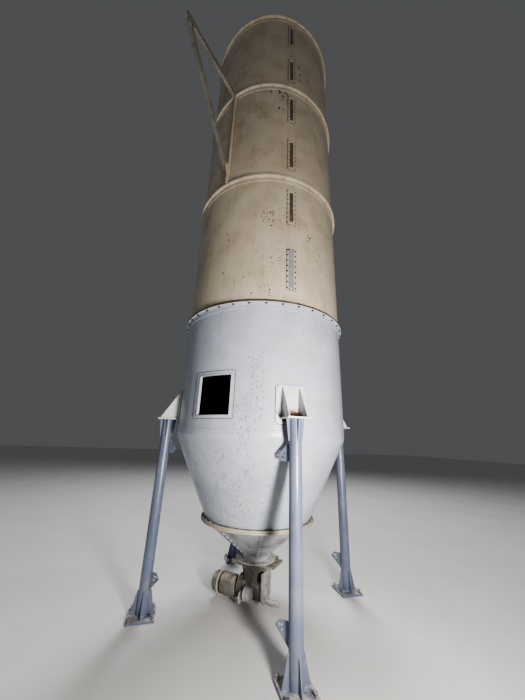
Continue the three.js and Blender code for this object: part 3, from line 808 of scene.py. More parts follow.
def rivetsInRays(tree, entry):
    line = addNode(tree, "GeometryNodeMeshLine", {
        "Count": entry["Rivets"], "Start Location": entry["Start"], "Offset": entry["Step"]})
    row = instances(tree, line.outputs[0], ball(tree, entry["Head Radius"], 10))
    hub = addNode(tree, "GeometryNodeMeshLine", {"Offset": (0, 0, 0), "Count": entry["Rays"]})
    share = calc(tree, "DIVIDE", addNode(tree, "GeometryNodeInputIndex").outputs[0], entry["Rays"])
    angle = calc(tree, "MULTIPLY_ADD", share, 2 * math.pi, entry["Turn"])
    return instances(tree, hub.outputs[0], row, Rotation=vectorOf(tree, 0.0, 0.0, angle))


def scaledVector(tree, vector, scale):
    return addNode(tree, "ShaderNodeVectorMath", {0: vector, "Scale": scale}, operation="SCALE").outputs[0]


def weldBead(tree, entry):
    # a lumpy bead along the edges of the mesh that the tree is put on
    path = addNode(tree, "GeometryNodeMeshToCurve", {0: entry["Geometry"]}).outputs[0]
    even = addNode(tree, "GeometryNodeResampleCurve", {"Curve": path, "Length": entry["Pitch"]},
                   mode="LENGTH")
    ringCurve = addNode(tree, "GeometryNodeCurvePrimitiveCircle", {
        "Resolution": 6, "Radius": entry["Bead Radius"]})
    place = addNode(tree, "GeometryNodeInputPosition").outputs[0]
    texture = addNode(tree, "ShaderNodeTexNoise", {
        "Scale": 95.0, "Detail": 2.0, "Vector": place, "W": entry["Seed"]}, noise_dimensions="4D")
    swept = addNode(tree, "GeometryNodeCurveToMesh", {
        "Curve": even.outputs[0], "Profile Curve": ringCurve.outputs[0], "Fill Caps": True,
        "Scale": ramp(tree, texture.outputs["Fac"], 0.25, 0.75, 0.72, 1.18)})
    rough = cloud(tree, place, 210.0, 1.0, 0.5, "Color")
    centred = vectorCalc(tree, "SUBTRACT", rough, (0.5, 0.5, 0.5))
    shift = scaledVector(tree, centred, times(tree, entry["Bead Radius"], entry["Ripple"]))
    return addNode(tree, "GeometryNodeSetPosition", {
        "Geometry": swept.outputs[0], "Offset": shift}).outputs[0]


def crumbs(tree, entry):
    # lumps of flour scattered over the mesh that the tree is put on
    points = addNode(tree, "GeometryNodeDistributePointsOnFaces", {
        "Mesh": entry["Geometry"], "Density": entry["Density"], "Seed": entry["Seed"]})
    lump = addNode(tree, "GeometryNodeMeshIcoSphere", {"Radius": 1.0, "Subdivisions": 1}).outputs[0]
    spot = addNode(tree, "GeometryNodeInputPosition").outputs[0]
    swelling = calc(tree, "SUBTRACT", cloud(tree, spot, 1.3, 2.0, 0.5), 0.5)
    rough = addNode(tree, "GeometryNodeSetPosition", {
        "Geometry": lump, "Offset": scaledVector(tree, spot, swelling)}).outputs[0]
    size = randomValue(tree, entry["Small"], entry["Large"], 11)
    about = vectorOf(tree, 0.0, 0.0, randomValue(tree, 0.0, 6.2, 4))
    return instances(tree, points.outputs[0], rough, Rotation=about,
                     Scale=vectorOf(tree, size, size, times(tree, size, 0.6)))


geometryTree("boltCircle", boltsInCircle, {
    "Count": 36, "Circle Radius": 1.0, "Turn": 0.0, "Top": 0.01, "Bottom": 0.0, "Head Radius": 0.01})
geometryTree("boltGrid", boltsInGrid, {
    "Columns": 2, "Rows": 8, "Width": 0.1, "Length": 0.5, "Top": 0.01, "Bottom": 0.0, "Head Radius": 0.01})
geometryTree("screwGrid", screwsInGrid, {
    "Columns": 2, "Rows": 8, "Width": 0.1, "Length": 0.5, "Head Radius": 0.005}, smooth=True)
geometryTree("rivetRays", rivetsInRays, {
    "Rays": 8, "Rivets": 9, "Start": (0.5, 0.0, 0.7), "Step": (-0.04, 0.0, -0.03), "Turn": 0.0,
    "Head Radius": 0.007}, smooth=True)
geometryTree("weldBead", weldBead, {
    "Bead Radius": 0.004, "Pitch": 0.008, "Ripple": 0.3, "Seed": 0.0}, smooth=True)
geometryTree("crumbs", crumbs, {"Density": 800.0, "Small": 0.002, "Large": 0.008, "Seed": 1}, smooth=True)
print("stage: geometry trees", len(trees))


def growMesh(key, material, values, lengths, source=None):
    # runs a tree on lengths in millimetres, and returns the plain mesh that it makes, in metres
    thing = newObject("growing", source or bpy.data.meshes.new("growing"))
    modifier = thing.modifiers.new("grow", "NODES")
    modifier.node_group = trees[key]
    inMetres = {label: [part * 0.001 for part in length] if isinstance(length, tuple) else length * 0.001
                for label, length in lengths.items()}
    sockets = {item.name: item.identifier for item in trees[key].interface.items_tree
               if item.item_type == "SOCKET" and item.in_out == "INPUT"}
    for label, value in {**values, **inMetres, "Material": finishes[material]}.items():
        modifier[sockets[label]] = value
    mesh = bpy.data.meshes.new_from_object(evaluated(thing))
    thing.modifiers.remove(modifier)
    bpy.data.objects.remove(thing)
    return mesh


def growAt(at, *inputs):
    # the same, moved to a place that is given in millimetres round the silo's axis
    mesh = growMesh(*inputs)
    mesh.transform(placing @ at @ Matrix.Scale(1000, 4))
    return mesh


def boltCircle(count, radius, topZ, bottomZ, head, turn=0.0, at=Matrix.Identity(4), material="steel"):
    return growAt(at, "boltCircle", material, {"Count": count, "Turn": math.radians(turn - 90)}, {
        "Circle Radius": radius, "Top": topZ, "Bottom": bottomZ, "Head Radius": head})


weldPitch = 8.0     # between the stations of a bead


def weldAlong(paths, bead, seed, material, closed=False, ripple=0.3):
    mesh = bpy.data.meshes.new("path")
    points, edges = [], []
    for path in paths:
        first = len(points)
        points += [inFrame(p) for p in path]
        edges += [(first + k, first + k + 1) for k in range(len(path) - 1)]
        if closed:
            edges.append((len(points) - 1, first))
    mesh.from_pydata(points, edges, [])
    return growMesh("weldBead", material, {"Ripple": ripple, "Seed": float(seed)},
                    {"Bead Radius": bead, "Pitch": weldPitch}, mesh)


# a dark sealant bead round each outline, made wide enough to paint in the shadow line along the plate's edge
# as well
def gatherSealantAndShadow(name, paths, bead, seed):
    gather(name, [weldAlong(paths, bead, seed, "sealant", closed=True, ripple=0.5)])


def circlePath(radius, z, steps=180):
    return [radial(360.0 * k / steps, radius, z) for k in range(steps)]


gap = 0.3       # between neighbouring pieces, as in the part
hatch = {
    "azimuth": -44.1, "width": 372, "low": 1830, "high": 2213, "corner": 10,
    "lip": 16, "lipThick": 5, "sleeve": 4, "backRadius": 985,
    "pad": {"azimuth": -44.6, "width": 466, "low": 1798, "high": 2256, "corner": 20, "thick": 9},
    # the sealant bead round the pad is wide enough to be a painted shadow line too
    "screwRows": (1935, 2120), "screwHead": 6.5, "screwInset": 20, "sealant": 5.5,
}
sight = {
    "width": 110, "height": 540, "corner": 8, "face": 7, "paneWidth": 48, "paneHeight": 450,
    "paneCorner": 9, "paneMargin": 3, "slotMargin": 4, "slotCorner": 10, "fromJoint": 438,
    "coverWidth": 63, "coverHeight": 490, "coverThick": 4, "coverCorner": 6,
    # the sealant bead round each frame is wide enough to be a painted shadow line too
    "rows": 8, "spread": 96, "length": 483, "head": 5.2, "blankHead": 6.6, "sealant": 4.0,
}
cutReach = (900, 1100)      # radii between which a cutter goes through the wall
lowerRows = [1790, 2245, 2600]      # extra loops of the lower wall, below and above the hatch
innerMargin = 2     # a face is an inner one when it is at least this far under the outer skin


def windowCentres(section):
    joint = ringZ[section] + silo["ringThick"] / 2
    return [joint + sight["fromJoint"], joint + silo["ringPitch"] - sight["fromJoint"]]


def markInside(shape, limitAt):
    # faces nearer to the axis than the limit at their height get the second material, the nearly black inner
    # paint, which paints in the shade inside the silo
    for face in shape.faces:
        middle = face.calc_center_median()
        face.material_index = 1 if middle.xy.length < limitAt(middle.z) else 0


def wallShape(lowZ, highZ, rows):
    shape = bmesh.new()
    outer, inner = silo["radius"], silo["radius"] - silo["wall"]
    heights = sorted({lowZ, highZ, *rows})
    lathe(shape, [(outer, z) for z in heights] + [(inner, z) for z in reversed(heights)])
    markInside(shape, lambda z: outer - innerMargin)
    return shape


def hatchStations(margin):
    # the hatch's outline, widened all round
    width, corner = hatch["width"] + 2 * margin, hatch["corner"] + margin
    return roundedOutline(width, hatch["low"] - margin, hatch["high"] + margin, corner, 16)


def sightStations(width, height, z, corner, across=8):
    return roundedOutline(width, z - height / 2, z + height / 2, corner, across)


def makeShell():
    middle = silo["ringThick"] / 2
    lower = wallShape(silo["junctionZ"] + gap, ringZ[0] + middle - gap / 2, lowerRows)
    cutter = bmesh.new()
    wrappedPlate(cutter, hatch["azimuth"], hatchStations(hatch["sleeve"] + gap), *cutReach)
    addPiece("lowerShell", cutShape(lower, cutter), ["whitePaint", "innerWallShade"],
             ["lower_shell_front", "lower_shell_rear"])
    margin = 2 * sight["slotMargin"]
    for k, name in enumerate("BCD"):
        highZ = shellTopZ if k == 2 else ringZ[k + 1] + middle - gap / 2
        centres = windowCentres(k)
        wall = wallShape(ringZ[k] + middle + gap / 2, highZ, [sum(centres) / 2])
        cutter = bmesh.new()
        for z in centres:
            slot = sightStations(sight["paneWidth"] + margin, sight["paneHeight"] + margin, z,
                                 sight["slotCorner"], 14)
            wrappedPlate(cutter, 0, slot, *cutReach)
        nodes = [f"shell_{name.lower()}_{side}" for side in ("front", "rear")]
        addPiece("shell" + name, cutShape(wall, cutter), ["creamPaint", "innerWallShade"], nodes)


seams = {"lower": [(128, 1706, 2970)], "upper": [(-35.7, 3010, 4722), (98, 4764, 6476), (-35.7, 6518, 8232)],
         "bead": 2.6, "sink": 0.8, "kneeBead": 4.0}


def makeSeams():
    radius = silo["radius"] + seams["sink"]
    lower, upper = ([[radial(azimuth, radius, z) for z in ends] for azimuth, *ends in seams[key]]
                    for key in ("lower", "upper"))
    around = [circlePath(silo["radius"] - 0.5, silo["junctionZ"])]
    gather("lowerSeams", [weldAlong(lower, seams["bead"], 1, "whitePaint"),
                          weldAlong(around, seams["kneeBead"], 2, "whitePaint", closed=True)])
    gather("upperSeams", [weldAlong(upper, seams["bead"], 3, "creamPaint")])


makeShell()
makeSeams()
print("stage: shell")


rings = {
    "plate": 9, "edge": 1.5, "bolts": 36, "boltCircle": 1018, "head": 9.5, "firstBolt": 4.7, "fillet": 4.5,
    "collar": 5.5, "collarHeight": 55, "sealantInset": 4,
    "nodes": {"A": "flange_1", "B": "flange_2", "C": "flange_3", "D": "top_flange"},
}


def makeRing(letter, node, z):
    # two plates with sealant between them, and an upright collar below and above
    outer, thick, plate, tall = silo["ringRadius"], silo["ringThick"], rings["plate"], rings["collarHeight"]
    inner = silo["radius"] + gap
    lowest = letter == "A"
    shape = bmesh.new()
    # ring A's upper plate takes the dark sealant finish: a painted shadow line along the ring's top, partly
    # dirt
    for part, low, collarLow in ((0, z, z - tall), (2, z + thick - plate, z + thick + gap)):
        lathe(shape, flangeProfile(inner, outer, low, low + plate, rings["edge"]),
              1 if lowest and part else part)
        high = collarLow + tall - gap
        if high < shellTopZ:
            lathe(shape, rectangle(inner, collarLow, inner + rings["collar"], high), part)
    lathe(shape, rectangle(inner, z + plate, outer - rings["sealantInset"], z + thick - plate), 1)
    paints = ["whitePaint", "sealant", "creamPaint"] if lowest else ["ringPaint", "sealant", "ringPaint"]
    addPiece("jointRing" + letter, shape, paints, [node])
    bolts = boltCircle(rings["bolts"], rings["boltCircle"], z + thick, z, rings["head"], rings["firstBolt"],
                       material="darkScrew" if lowest else "ringPaint")
    gather("ringBolts" + letter, [bolts])


def makeRings():
    for z, (letter, node) in zip(ringZ, rings["nodes"].items()):
        makeRing(letter, node, z)
    fillets = [circlePath(silo["radius"] + 1.5, z - rings["collarHeight"]) for z in ringZ]
    gather("lowRingWeld", [weldAlong(fillets[:1], rings["fillet"], 4, "whitePaint", closed=True)])
    gather("ringWeldsUnder", [weldAlong(fillets[1:], rings["fillet"], 5, "ringPaint", closed=True)])


makeRings()
print("stage: joint rings")


hopper = {"flangeRadius": 630, "flangeThick": 14, "edge": 1.5, "bolts": 40, "boltCircle": 611, "head": 8.0,
          "firstBolt": 4.5, "dirt": 4.5, "sealant": 2.0, "kneeBend": 80, "innerMargin": 3.5}
outlet = {"coneTopZ": 784, "radius": 150, "z": 447, "lowZ": 398, "flangeRadius": 216, "flangeThick": 12,
          "wall": 4, "rimWall": 5.2, "edge": 1.2, "bolts": 12, "boltCircle": 190, "firstBolt": 8,
          "head": 8.0, "grip": 30.6}


def makeHopper():
    low, lowZ, high, highZ = silo["hopperLowRadius"], silo["hopperLowZ"], silo["radius"], silo["junctionZ"]
    kneeZ, bend, wall = silo["kneeZ"], hopper["kneeBend"], silo["wall"]
    slope = (high - low) / (kneeZ - lowZ)
    inset = wall * math.hypot(1, slope)
    tilt = math.atan(slope)
    centreZ = kneeZ + bend * math.tan(tilt / 2)
    knee = [(high - bend + bend * math.cos(t), centreZ - bend * math.sin(t))
            for t in (tilt * k / 6 for k in range(6, -1, -1))]
    heights = [lowZ + (knee[0][1] - lowZ) * k / 4 for k in range(4)]
    outside = [(low + (z - lowZ) * slope, z) for z in heights] + knee + [(high, highZ)]
    inside = [(high - wall, highZ), (high - wall, kneeZ + (inset - wall) / slope), (low - inset, lowZ)]
    shape = bmesh.new()
    lathe(shape, outside + inside)
    markInside(shape, lambda z: min(high, low + (z - lowZ) * slope) - hopper["innerMargin"])
    addPiece("hopper", shape, ["whitePaint", "innerWallShade"], ["hopper_front", "hopper_rear"])
    outer, lowerZ = hopper["flangeRadius"], outlet["coneTopZ"] + gap
    upperZ = lowZ - gap - hopper["flangeThick"]
    for name, node, z, top in (("hopperFlange", "hopper_flange", upperZ, lowZ - gap),
                               ("coneFlange", "cone_flange", lowerZ, upperZ - gap)):
        shape = bmesh.new()
        lathe(shape, flangeProfile(low - inset, outer, z, top, hopper["edge"]))
        addPiece(name, shape, ["ringPaint"], [node])
    bolts = boltCircle(hopper["bolts"], hopper["boltCircle"], lowZ - gap, lowerZ, hopper["head"],
                       hopper["firstBolt"])
    gather("hopperBolts", [bolts])
    dirt = weldAlong([circlePath(low + 2, lowZ + 1)], hopper["dirt"], 8, "sealant", closed=True, ripple=0.6)
    joint = weldAlong([circlePath(outer - 1, upperZ)], hopper["sealant"], 9, "sealant", closed=True)
    gather("hopperSealant", [dirt, joint])


cone = {"rays": 8, "rivets": 8, "turn": -11.0, "strapHalf": 14, "strapThick": 2.5, "strapSink": 1,
        "strapEnds": (0.02, 0.97), "firstRivet": 0.06, "rivetRun": 0.86, "rivet": 8.5}


def makeDischargeCone():
    wide, top, neck, neckZ = silo["hopperLowRadius"], outlet["coneTopZ"], outlet["radius"], outlet["z"]
    bore, low, flangeTop = neck - outlet["wall"], outlet["lowZ"], outlet["lowZ"] + outlet["flangeThick"]
    flange = flangeProfile(bore, outlet["flangeRadius"], low, flangeTop, outlet["edge"])[:-1]
    shape = bmesh.new()
    lathe(shape, [(wide - outlet["rimWall"], top), (bore, neckZ), *flange, (neck, flangeTop),
                  (neck, neckZ), (wide, top)])
    rim, along = Vector((wide, top)), Vector((neck - wide, neckZ - top))
    outwards = Vector((-along.y, along.x)).normalized()
    sink, lift = outwards * cone["strapSink"], outwards * cone["strapThick"]
    start, end = (rim + along * share for share in cone["strapEnds"])
    outline = [tuple(start - sink), tuple(end - sink), tuple(end + lift), tuple(start + lift)]
    for k in range(cone["rays"]):
        azimuth = cone["turn"] + 360.0 * k / cone["rays"]
        prism(shape, outline, 2 * cone["strapHalf"], uprightAt(azimuth, cone["strapHalf"]))
    addPiece("dischargeCone", shape, ["conePaint"], ["discharge_cone"], 0.8)
    first = rim + along * cone["firstRivet"] + lift
    step = along * (cone["rivetRun"] / (cone["rivets"] - 1))
    rivets = growAt(Matrix.Identity(4), "rivetRays", "bracketPaint", {
        "Rays": cone["rays"], "Rivets": cone["rivets"], "Turn": math.radians(cone["turn"] - 90)}, {
        "Start": (first.x, 0.0, first.y), "Step": (step.x, 0.0, step.y), "Head Radius": cone["rivet"]})
    gather("coneRivets", [rivets])
    bolts = boltCircle(outlet["bolts"], outlet["boltCircle"], flangeTop, low - outlet["grip"],
                       outlet["head"], outlet["firstBolt"])
    gather("outletBolts", [bolts])


makeHopper()
makeDischargeCone()
print("stage: hopper and cone")


def screwOnWall(azimuth, radius, z, head, columns=1, rows=1, spread=0, length=0, material="darkScrew"):
    at = Matrix.Translation(radial(azimuth, radius, z)) @ Matrix.Rotation(math.radians(azimuth), 4, "Z")
    facing = at @ Matrix.Rotation(math.pi / 2, 4, "X")
    return growAt(facing, "screwGrid", material, {"Columns": columns, "Rows": rows}, {
        "Width": spread, "Length": length, "Head Radius": head})


def makeHatch():
    pad, back, at = hatch["pad"], hatch["backRadius"], hatch["azimuth"]
    base, face = silo["radius"] + gap, silo["radius"] + pad["thick"]
    proud = face + hatch["lipThick"]
    padStations = roundedOutline(pad["width"], pad["low"], pad["high"], pad["corner"], 16)
    through, rim, hole = hatchStations(hatch["sleeve"]), hatchStations(hatch["lip"]), hatchStations(0)
    shape = bmesh.new()
    wrappedLoft(shape, [(through, at, back), (through, at, base), (padStations, pad["azimuth"], base),
                        (padStations, pad["azimuth"], face), (rim, at, face), (rim, at, proud),
                        (hole, at, proud), (hole, at, back)])
    addPiece("hatchFrame", shape, ["whitePaint"], ["hatch_frame"], 1.4)
    gatherSealantAndShadow("hatchSealantShadowLine", [wrappedLoop(padStations, pad["azimuth"], base + 1)], hatch["sealant"], 12)
    edge = math.degrees((pad["width"] / 2 - hatch["screwInset"]) / silo["radius"])
    gather("hatchScrews", [
        screwOnWall(pad["azimuth"] + side * edge, face, z, hatch["screwHead"], material="ringPaint")
        for side in (-1, 1) for z in hatch["screwRows"]])


def makeSightWindow(section, level, z, blanked):
    # one window with its screws, and the outline that its sealant bead follows, which also paints the frame's
    # shadow line
    base, face, corner = silo["radius"] + gap, silo["radius"] + sight["face"], sight["paneCorner"]
    outer = sightStations(sight["width"], sight["height"], z, sight["corner"])
    shape = bmesh.new()
    if blanked:
        wrappedPlate(shape, 0, outer, base, face)
        plate = sightStations(sight["coverWidth"], sight["coverHeight"], z, sight["coverCorner"], 6)
        wrappedPlate(shape, 0, plate, face - 0.5, face + sight["coverThick"], part=1)
    else:
        inner = sightStations(sight["paneWidth"], sight["paneHeight"], z, corner)
        wrappedLoft(shape, [(outer, 0, base), (outer, 0, face), (inner, 0, face), (inner, 0, base)])
        margin = 2 * sight["paneMargin"]
        glass = sightStations(sight["paneWidth"] + margin, sight["paneHeight"] + margin, z, corner)
        wrappedPlate(shape, 0, glass, base - 4, base + 2, part=1)
    addPiece("sightWindow" + section + level, shape, ["creamPaint", "plate" if blanked else "pane"],
             [f"sight_window_{section.lower()}_{level.lower()}"],
             0.9)
    head = sight["blankHead"] if blanked else sight["head"]
    screws = [screwOnWall(0, face, z, head, 2, sight["rows"], sight["spread"], sight["length"])]
    if blanked:
        screws.append(screwOnWall(0, face, z, head, 2, 2, sight["coverWidth"] - 20, sight["height"] - 24))
    return screws, wrappedLoop(outer, 0, base + 1)


def makeSightWindows():
    screws, outlines = [], []
    for k, section in enumerate("BCD"):
        for level, z in zip(("Lower", "Upper"), windowCentres(k)):
            heads, outline = makeSightWindow(section, level, z, section + level == "BLower")
            screws += heads
            outlines.append(outline)
    gather("windowScrews", screws)
    gatherSealantAndShadow("windowSealantShadowLine", outlines, sight["sealant"], 14)


makeHatch()
makeSightWindows()
print("stage: hatch and windows")


bracket = {
    "pad": {"half": 150, "low": 1760, "high": 2125, "corner": 40, "thick": 12},
    "seat": {"z": 1805, "thick": 15, "half": 110, "reach": 1211},
    "gusset": {"half": 85, "thick": 10, "high": 2095, "reach": 1184, "toe": 12, "nose": 10},
    # the pad's sealant bead is wide enough to be a painted shadow line too
    "bead": 3.5, "sealant": 4.5,
}
leg = {
    "circle": 1106, "radius": 54, "headZ": 1804.7, "footHalf": 125, "footThick": 20, "finThick": 8,
    "footFin": (108, 64, 190), "headFin": (86, 64, 185),     # reach at the plate, reach at the tip, height
    "lugThick": 8, "holeRadius": 9, "anchorSpread": 200, "anchorHead": 12, "anchorGrip": 30,
    "bead": 3.0, "collarBead": 3.4,
}
lugs = [     # the upper and the lower one
    {"outline": [(50, 1452), (137, 1452), (166, 1500), (78, 1588), (50, 1600)],
     "holes": [(130, 1486), (110, 1483), (104, 1512)]},
    {"outline": [(50, 213), (54, 213), (168, 323), (127, 367), (50, 367)],
     "holes": [(131, 335), (111, 337), (107, 310)]},
]
legTurns = {"Front": 0, "Right": 90, "Rear": 180, "Left": 270}


def makeBracket(name, turn):
    pad, seat, gusset = bracket["pad"], bracket["seat"], bracket["gusset"]
    base, face, thick = silo["radius"] + gap, silo["radius"] + pad["thick"], gusset["thick"]
    root, seatTop = face - 4, seat["z"] + seat["thick"]
    stations = roundedOutline(2 * pad["half"], pad["low"], pad["high"], pad["corner"], 16, 7)
    shape = bmesh.new()
    wrappedPlate(shape, turn, stations, base, face)
    prism(shape, rectangle(root, seat["z"], seat["reach"], seatTop), 2 * seat["half"],
          uprightAt(turn, seat["half"]))
    reach, high = gusset["reach"], gusset["high"]
    outline = [(root, seatTop - 1), (reach, seatTop - 1), (reach, seatTop + gusset["toe"]),
               (face + gusset["nose"], high), (root, high)]
    bead = [(face + 0.5, high - 4), (face + 0.5, seatTop), (reach - 3, seatTop)]
    paths = []
    for side in (-1, 1):
        prism(shape, outline, thick, uprightAt(turn, side * gusset["half"] + thick / 2))
        for edge in (-1, 1):
            where = uprightAt(turn, side * gusset["half"] + edge * thick / 2)
            paths.append([where @ Vector((x, y, 0)) for x, y in bead])
    under, seatEnd = uprightAt(turn), seat["half"] - 2
    paths.append([under @ Vector((face, seat["z"], across)) for across in (-seatEnd, seatEnd)])
    addPiece("bracket" + name, shape, ["bracketPaint"], [f"bracket_{name.lower()}"], 1.4)
    # the dark sealant bead round the pad, which also paints in the pad's shadow line
    joint = [wrappedLoop(stations, turn, base + 1)]
    return (weldAlong(paths, bracket["bead"], turn + 20, "bracketPaint", ripple=0.4),
            weldAlong(joint, bracket["sealant"], turn + 30, "sealant", closed=True, ripple=0.5))


def lugPlate(lug, at):
    shape, cutter = bmesh.new(), bmesh.new()
    prism(shape, lug["outline"], leg["lugThick"], lifted(at, -leg["lugThick"] / 2))
    for x, z in lug["holes"]:
        bar(cutter, leg["holeRadius"], -30, 30, at @ Matrix.Translation((x, z, 0)), 24)
    return meshOf("lug", cutShape(shape, cutter))


def makeLeg(name, turn, braceSide):
    upright = Matrix.Rotation(math.pi / 2, 4, "X")
    standing = Matrix.Translation(radial(turn, leg["circle"])) @ Matrix.Rotation(math.radians(turn), 4, "Z")
    radius, half, plate, fin, top = (leg[key] for key in (
        "radius", "footHalf", "footThick", "finThick", "headZ"))
    shape = bmesh.new()
    bar(shape, radius, plate - 2, top - 1, standing, 72)
    box(shape, (-half, -half, 0), (half, half, plate), standing)
    root, low = radius - 6, plate - 1
    reach, tip, tall = leg["footFin"]
    footEnd, footTop, beadTop = reach - 3, low + tall, low + tall - 5
    footFin = [(root, low), (reach, low), (reach, low + 8), (tip, footTop + 1), (root, footTop + 1)]
    reach, tip, tall = leg["headFin"]
    headFin = [(root, top - tall), (tip, top - tall), (reach, top - 6), (reach, top), (root, top)]
    beads = []

    def addBeads(at, thick, *paths):
        for across in (-thick / 2, thick / 2):
            beads.extend([at @ Vector((x, z, across)) for x, z in path] for path in paths)

    for quarter in range(4):
        out = standing @ Matrix.Rotation(math.pi / 2 * quarter, 4, "Z") @ upright
        for outline in (footFin, headFin):
            prism(shape, outline, fin, lifted(out, -fin / 2))
        addBeads(out, fin, [(radius, beadTop), (radius, low + 2), (footEnd, low + 2)],
                 [(radius, top - tall + 2), (radius, top - 3)])
    # the lugs point at the neighbouring leg that the brace ran to
    lugAt = standing @ Matrix.Rotation(math.pi / 2 - braceSide * math.pi / 4, 4, "Z") @ upright
    for lug in lugs:
        plateMesh = lugPlate(lug, lugAt)
        shape.from_mesh(plateMesh)
        bpy.data.meshes.remove(plateMesh)
        ends = lug["outline"][0][1] + 2, lug["outline"][-1][1] - 2
        addBeads(lugAt, leg["lugThick"], [(radius + 0.5, z) for z in ends])
    addPiece("leg" + name, shape, ["legPaint"], [f"leg_{name.lower()}"], 1.1)
    collars = [[standing @ p for p in circlePath(radius + 1, z, 40)] for z in (plate + 1, top - 2)]
    spread = leg["anchorSpread"]
    anchors = growAt(standing, "boltGrid", "steel", {"Columns": 2, "Rows": 2}, {
        "Width": spread, "Length": spread, "Top": plate, "Bottom": plate + leg["anchorGrip"],
        "Head Radius": leg["anchorHead"]})
    return (weldAlong(beads, leg["bead"], turn + 40, "legPaint"),
            weldAlong(collars, leg["collarBead"], turn + 60, "legPaint", closed=True), anchors)


def makeStands():
    bracketWelds, padJoints, legWelds, anchors = [], [], [], []
    for name, turn in legTurns.items():
        welds, joint = makeBracket(name, turn)
        bracketWelds.append(welds)
        padJoints.append(joint)
        *beads, bolts = makeLeg(name, turn, -1 if turn % 180 == 0 else 1)
        legWelds += beads
        anchors.append(bolts)
    gather("bracketWelds", bracketWelds)
    gather("padSealantShadowLine", padJoints)
    gather("legWelds", legWelds)
    gather("anchorBolts", anchors)


makeStands()
print("stage: brackets and legs")


console = {
    "azimuth": -48.1, "reach": 2000, "beamStart": 1006, "strutLow": (1052, 4985), "strutHigh": (1948, 6436),
    "leg": 50, "thick": 6, "plate": 8, "postWidth": 50, "postStand": 45, "postThick": 7,
    "lowGusset": [(1000.5, 4757), (1056, 4757), (1054, 4900), (1092, 5020), (1070, 5085), (1000.5, 5040)],
    "highGusset": [(1840, 6556), (1996, 6556), (1996, 6480), (1950, 6395), (1895, 6395)],
}


def angleBar(shape, start, end, at, shift):
    # start and end are (radius, z) of the bar's back edge in the console's plane
    start, end = Vector(start), Vector(end)
    along = (end - start).normalized()
    inwards = Vector((-along.y, along.x))
    flat, thick = console["leg"], console["thick"]
    for wide, deep, low in ((flat, thick, shift), (thick, flat - 1, shift + 1)):
        outline = [start, end, end + inwards * wide, start + inwards * wide]
        prism(shape, [tuple(p) for p in outline], deep, lifted(at, low))


def makeConsole():
    at = uprightAt(console["azimuth"])
    beamZ = ringZ[2] + silo["ringThick"] + gap
    inner, low, high = silo["radius"] + gap, ringZ[1] + silo["ringThick"] + gap, ringZ[2] - gap
    post, thick = bmesh.new(), console["postThick"]
    for reach, deep in ((thick, console["postWidth"]), (console["postStand"], thick)):
        prism(post, rectangle(inner, low, inner + reach, high), deep, uprightAt(console["azimuth"], deep))
    addPiece("consolePost", post, ["creamPaint"], ["console_post"], 1.2)
    # the low gusset takes the pale ring paint and the high one the darker console paint, which paints in
    # shade there
    for name, node, outline, paint in (
            ("consoleLowGusset", "console_low_gusset", console["lowGusset"], "ringPaint"),
            ("consoleHighGusset", "console_high_gusset", console["highGusset"], "consolePaintAndShade")):
        gusset = bmesh.new()
        prism(gusset, outline, console["plate"], lifted(at, gap))
        addPiece(name, gusset, [paint], [node], 1.0)
    for name, node, start, end in (
            ("consoleBeam", "console_beam", (console["beamStart"], beamZ), (console["reach"], beamZ)),
            ("consoleStrut", "console_strut", console["strutLow"], console["strutHigh"])):
        angle = bmesh.new()
        angleBar(angle, start, end, at, 2 * gap + console["plate"])
        addPiece(name, angle, ["consolePaintAndShade"], [node], 1.2)


makeConsole()
print("stage: console")


feeder = {
    "turn": -43.7, "forward": 70, "z": 156, "radius": 92, "left": -120, "right": 158,
    "coverRadius": 104, "coverThick": 14, "ribs": range(-78, 133, 30),
    "coverBolts": {"count": 8, "rightHead": 6.5, "leftHead": 5.0, "firstRight": 22},
    "endPlate": {"low": 66, "high": 336, "half": 105, "chamfer": 45, "bearing": 62, "boss": 12},
    "gate": {"left": -200, "right": 265, "body": 195, "depth": 360, "top": 397.7, "thick": 30, "plate": 8,
             "inset": 4, "rail": 30, "endInset": 6, "bladeInset": 40, "blade": (12, 18),
             "handleInset": 60, "handle": (3, 27)},
    "neck": {"topRadius": 150, "lowRadius": 70, "lowZ": 172, "wall": 6, "flange": 16, "flangeThick": 9,
             "bead": 4},
    "gearbox": {"forward": 190, "z": 114, "left": -108, "right": -12, "radius": 46, "cheek": 33.12,
                "flangeWide": 9, "flangePitch": 44, "plugRadius": 13, "plugAlong": 30, "plugRise": 15},
    "motor": {"forward": 190, "z": 146, "right": 62, "radius": 60, "fins": 18, "finHalf": 1.6},
}
line = {
    "forward": 80, "z": 132,
    "drum": {"left": -345, "right": -171, "radius": 98, "ring": 80, "ringThick": 8, "shaft": 42, "pipe": 50,
             "pipeLeft": -358, "bolts": 8, "head": 5.0, "firstBolt": 22.5, "ringWide": 15, "boltInset": 7},
    "sleeve": {"left": -445, "leftRadius": 88, "rightRadius": 104, "lip": 14, "lipRadius": 112, "wall": 9},
    "stub": {"right": 320, "radius": 24, "z": 88},
}
feederTurn = Matrix.Rotation(math.radians(feeder["turn"]), 4, "Z")


def feederAxis(forward, z):
    # local z runs along the feeder, from left to right, and local x points down
    return feederTurn @ Matrix.Translation((0, -forward, z)) @ Matrix.Rotation(math.pi / 2, 4, "Y")


bodyAxis = feederAxis(feeder["forward"], feeder["z"])
lineAxis = feederAxis(line["forward"], line["z"])


def cutByHousing(shape):
    cutter = bmesh.new()
    bar(cutter, feeder["radius"] + gap, feeder["left"] - 20, feeder["right"] + 20, bodyAxis, 96)
    return cutShape(shape, cutter)


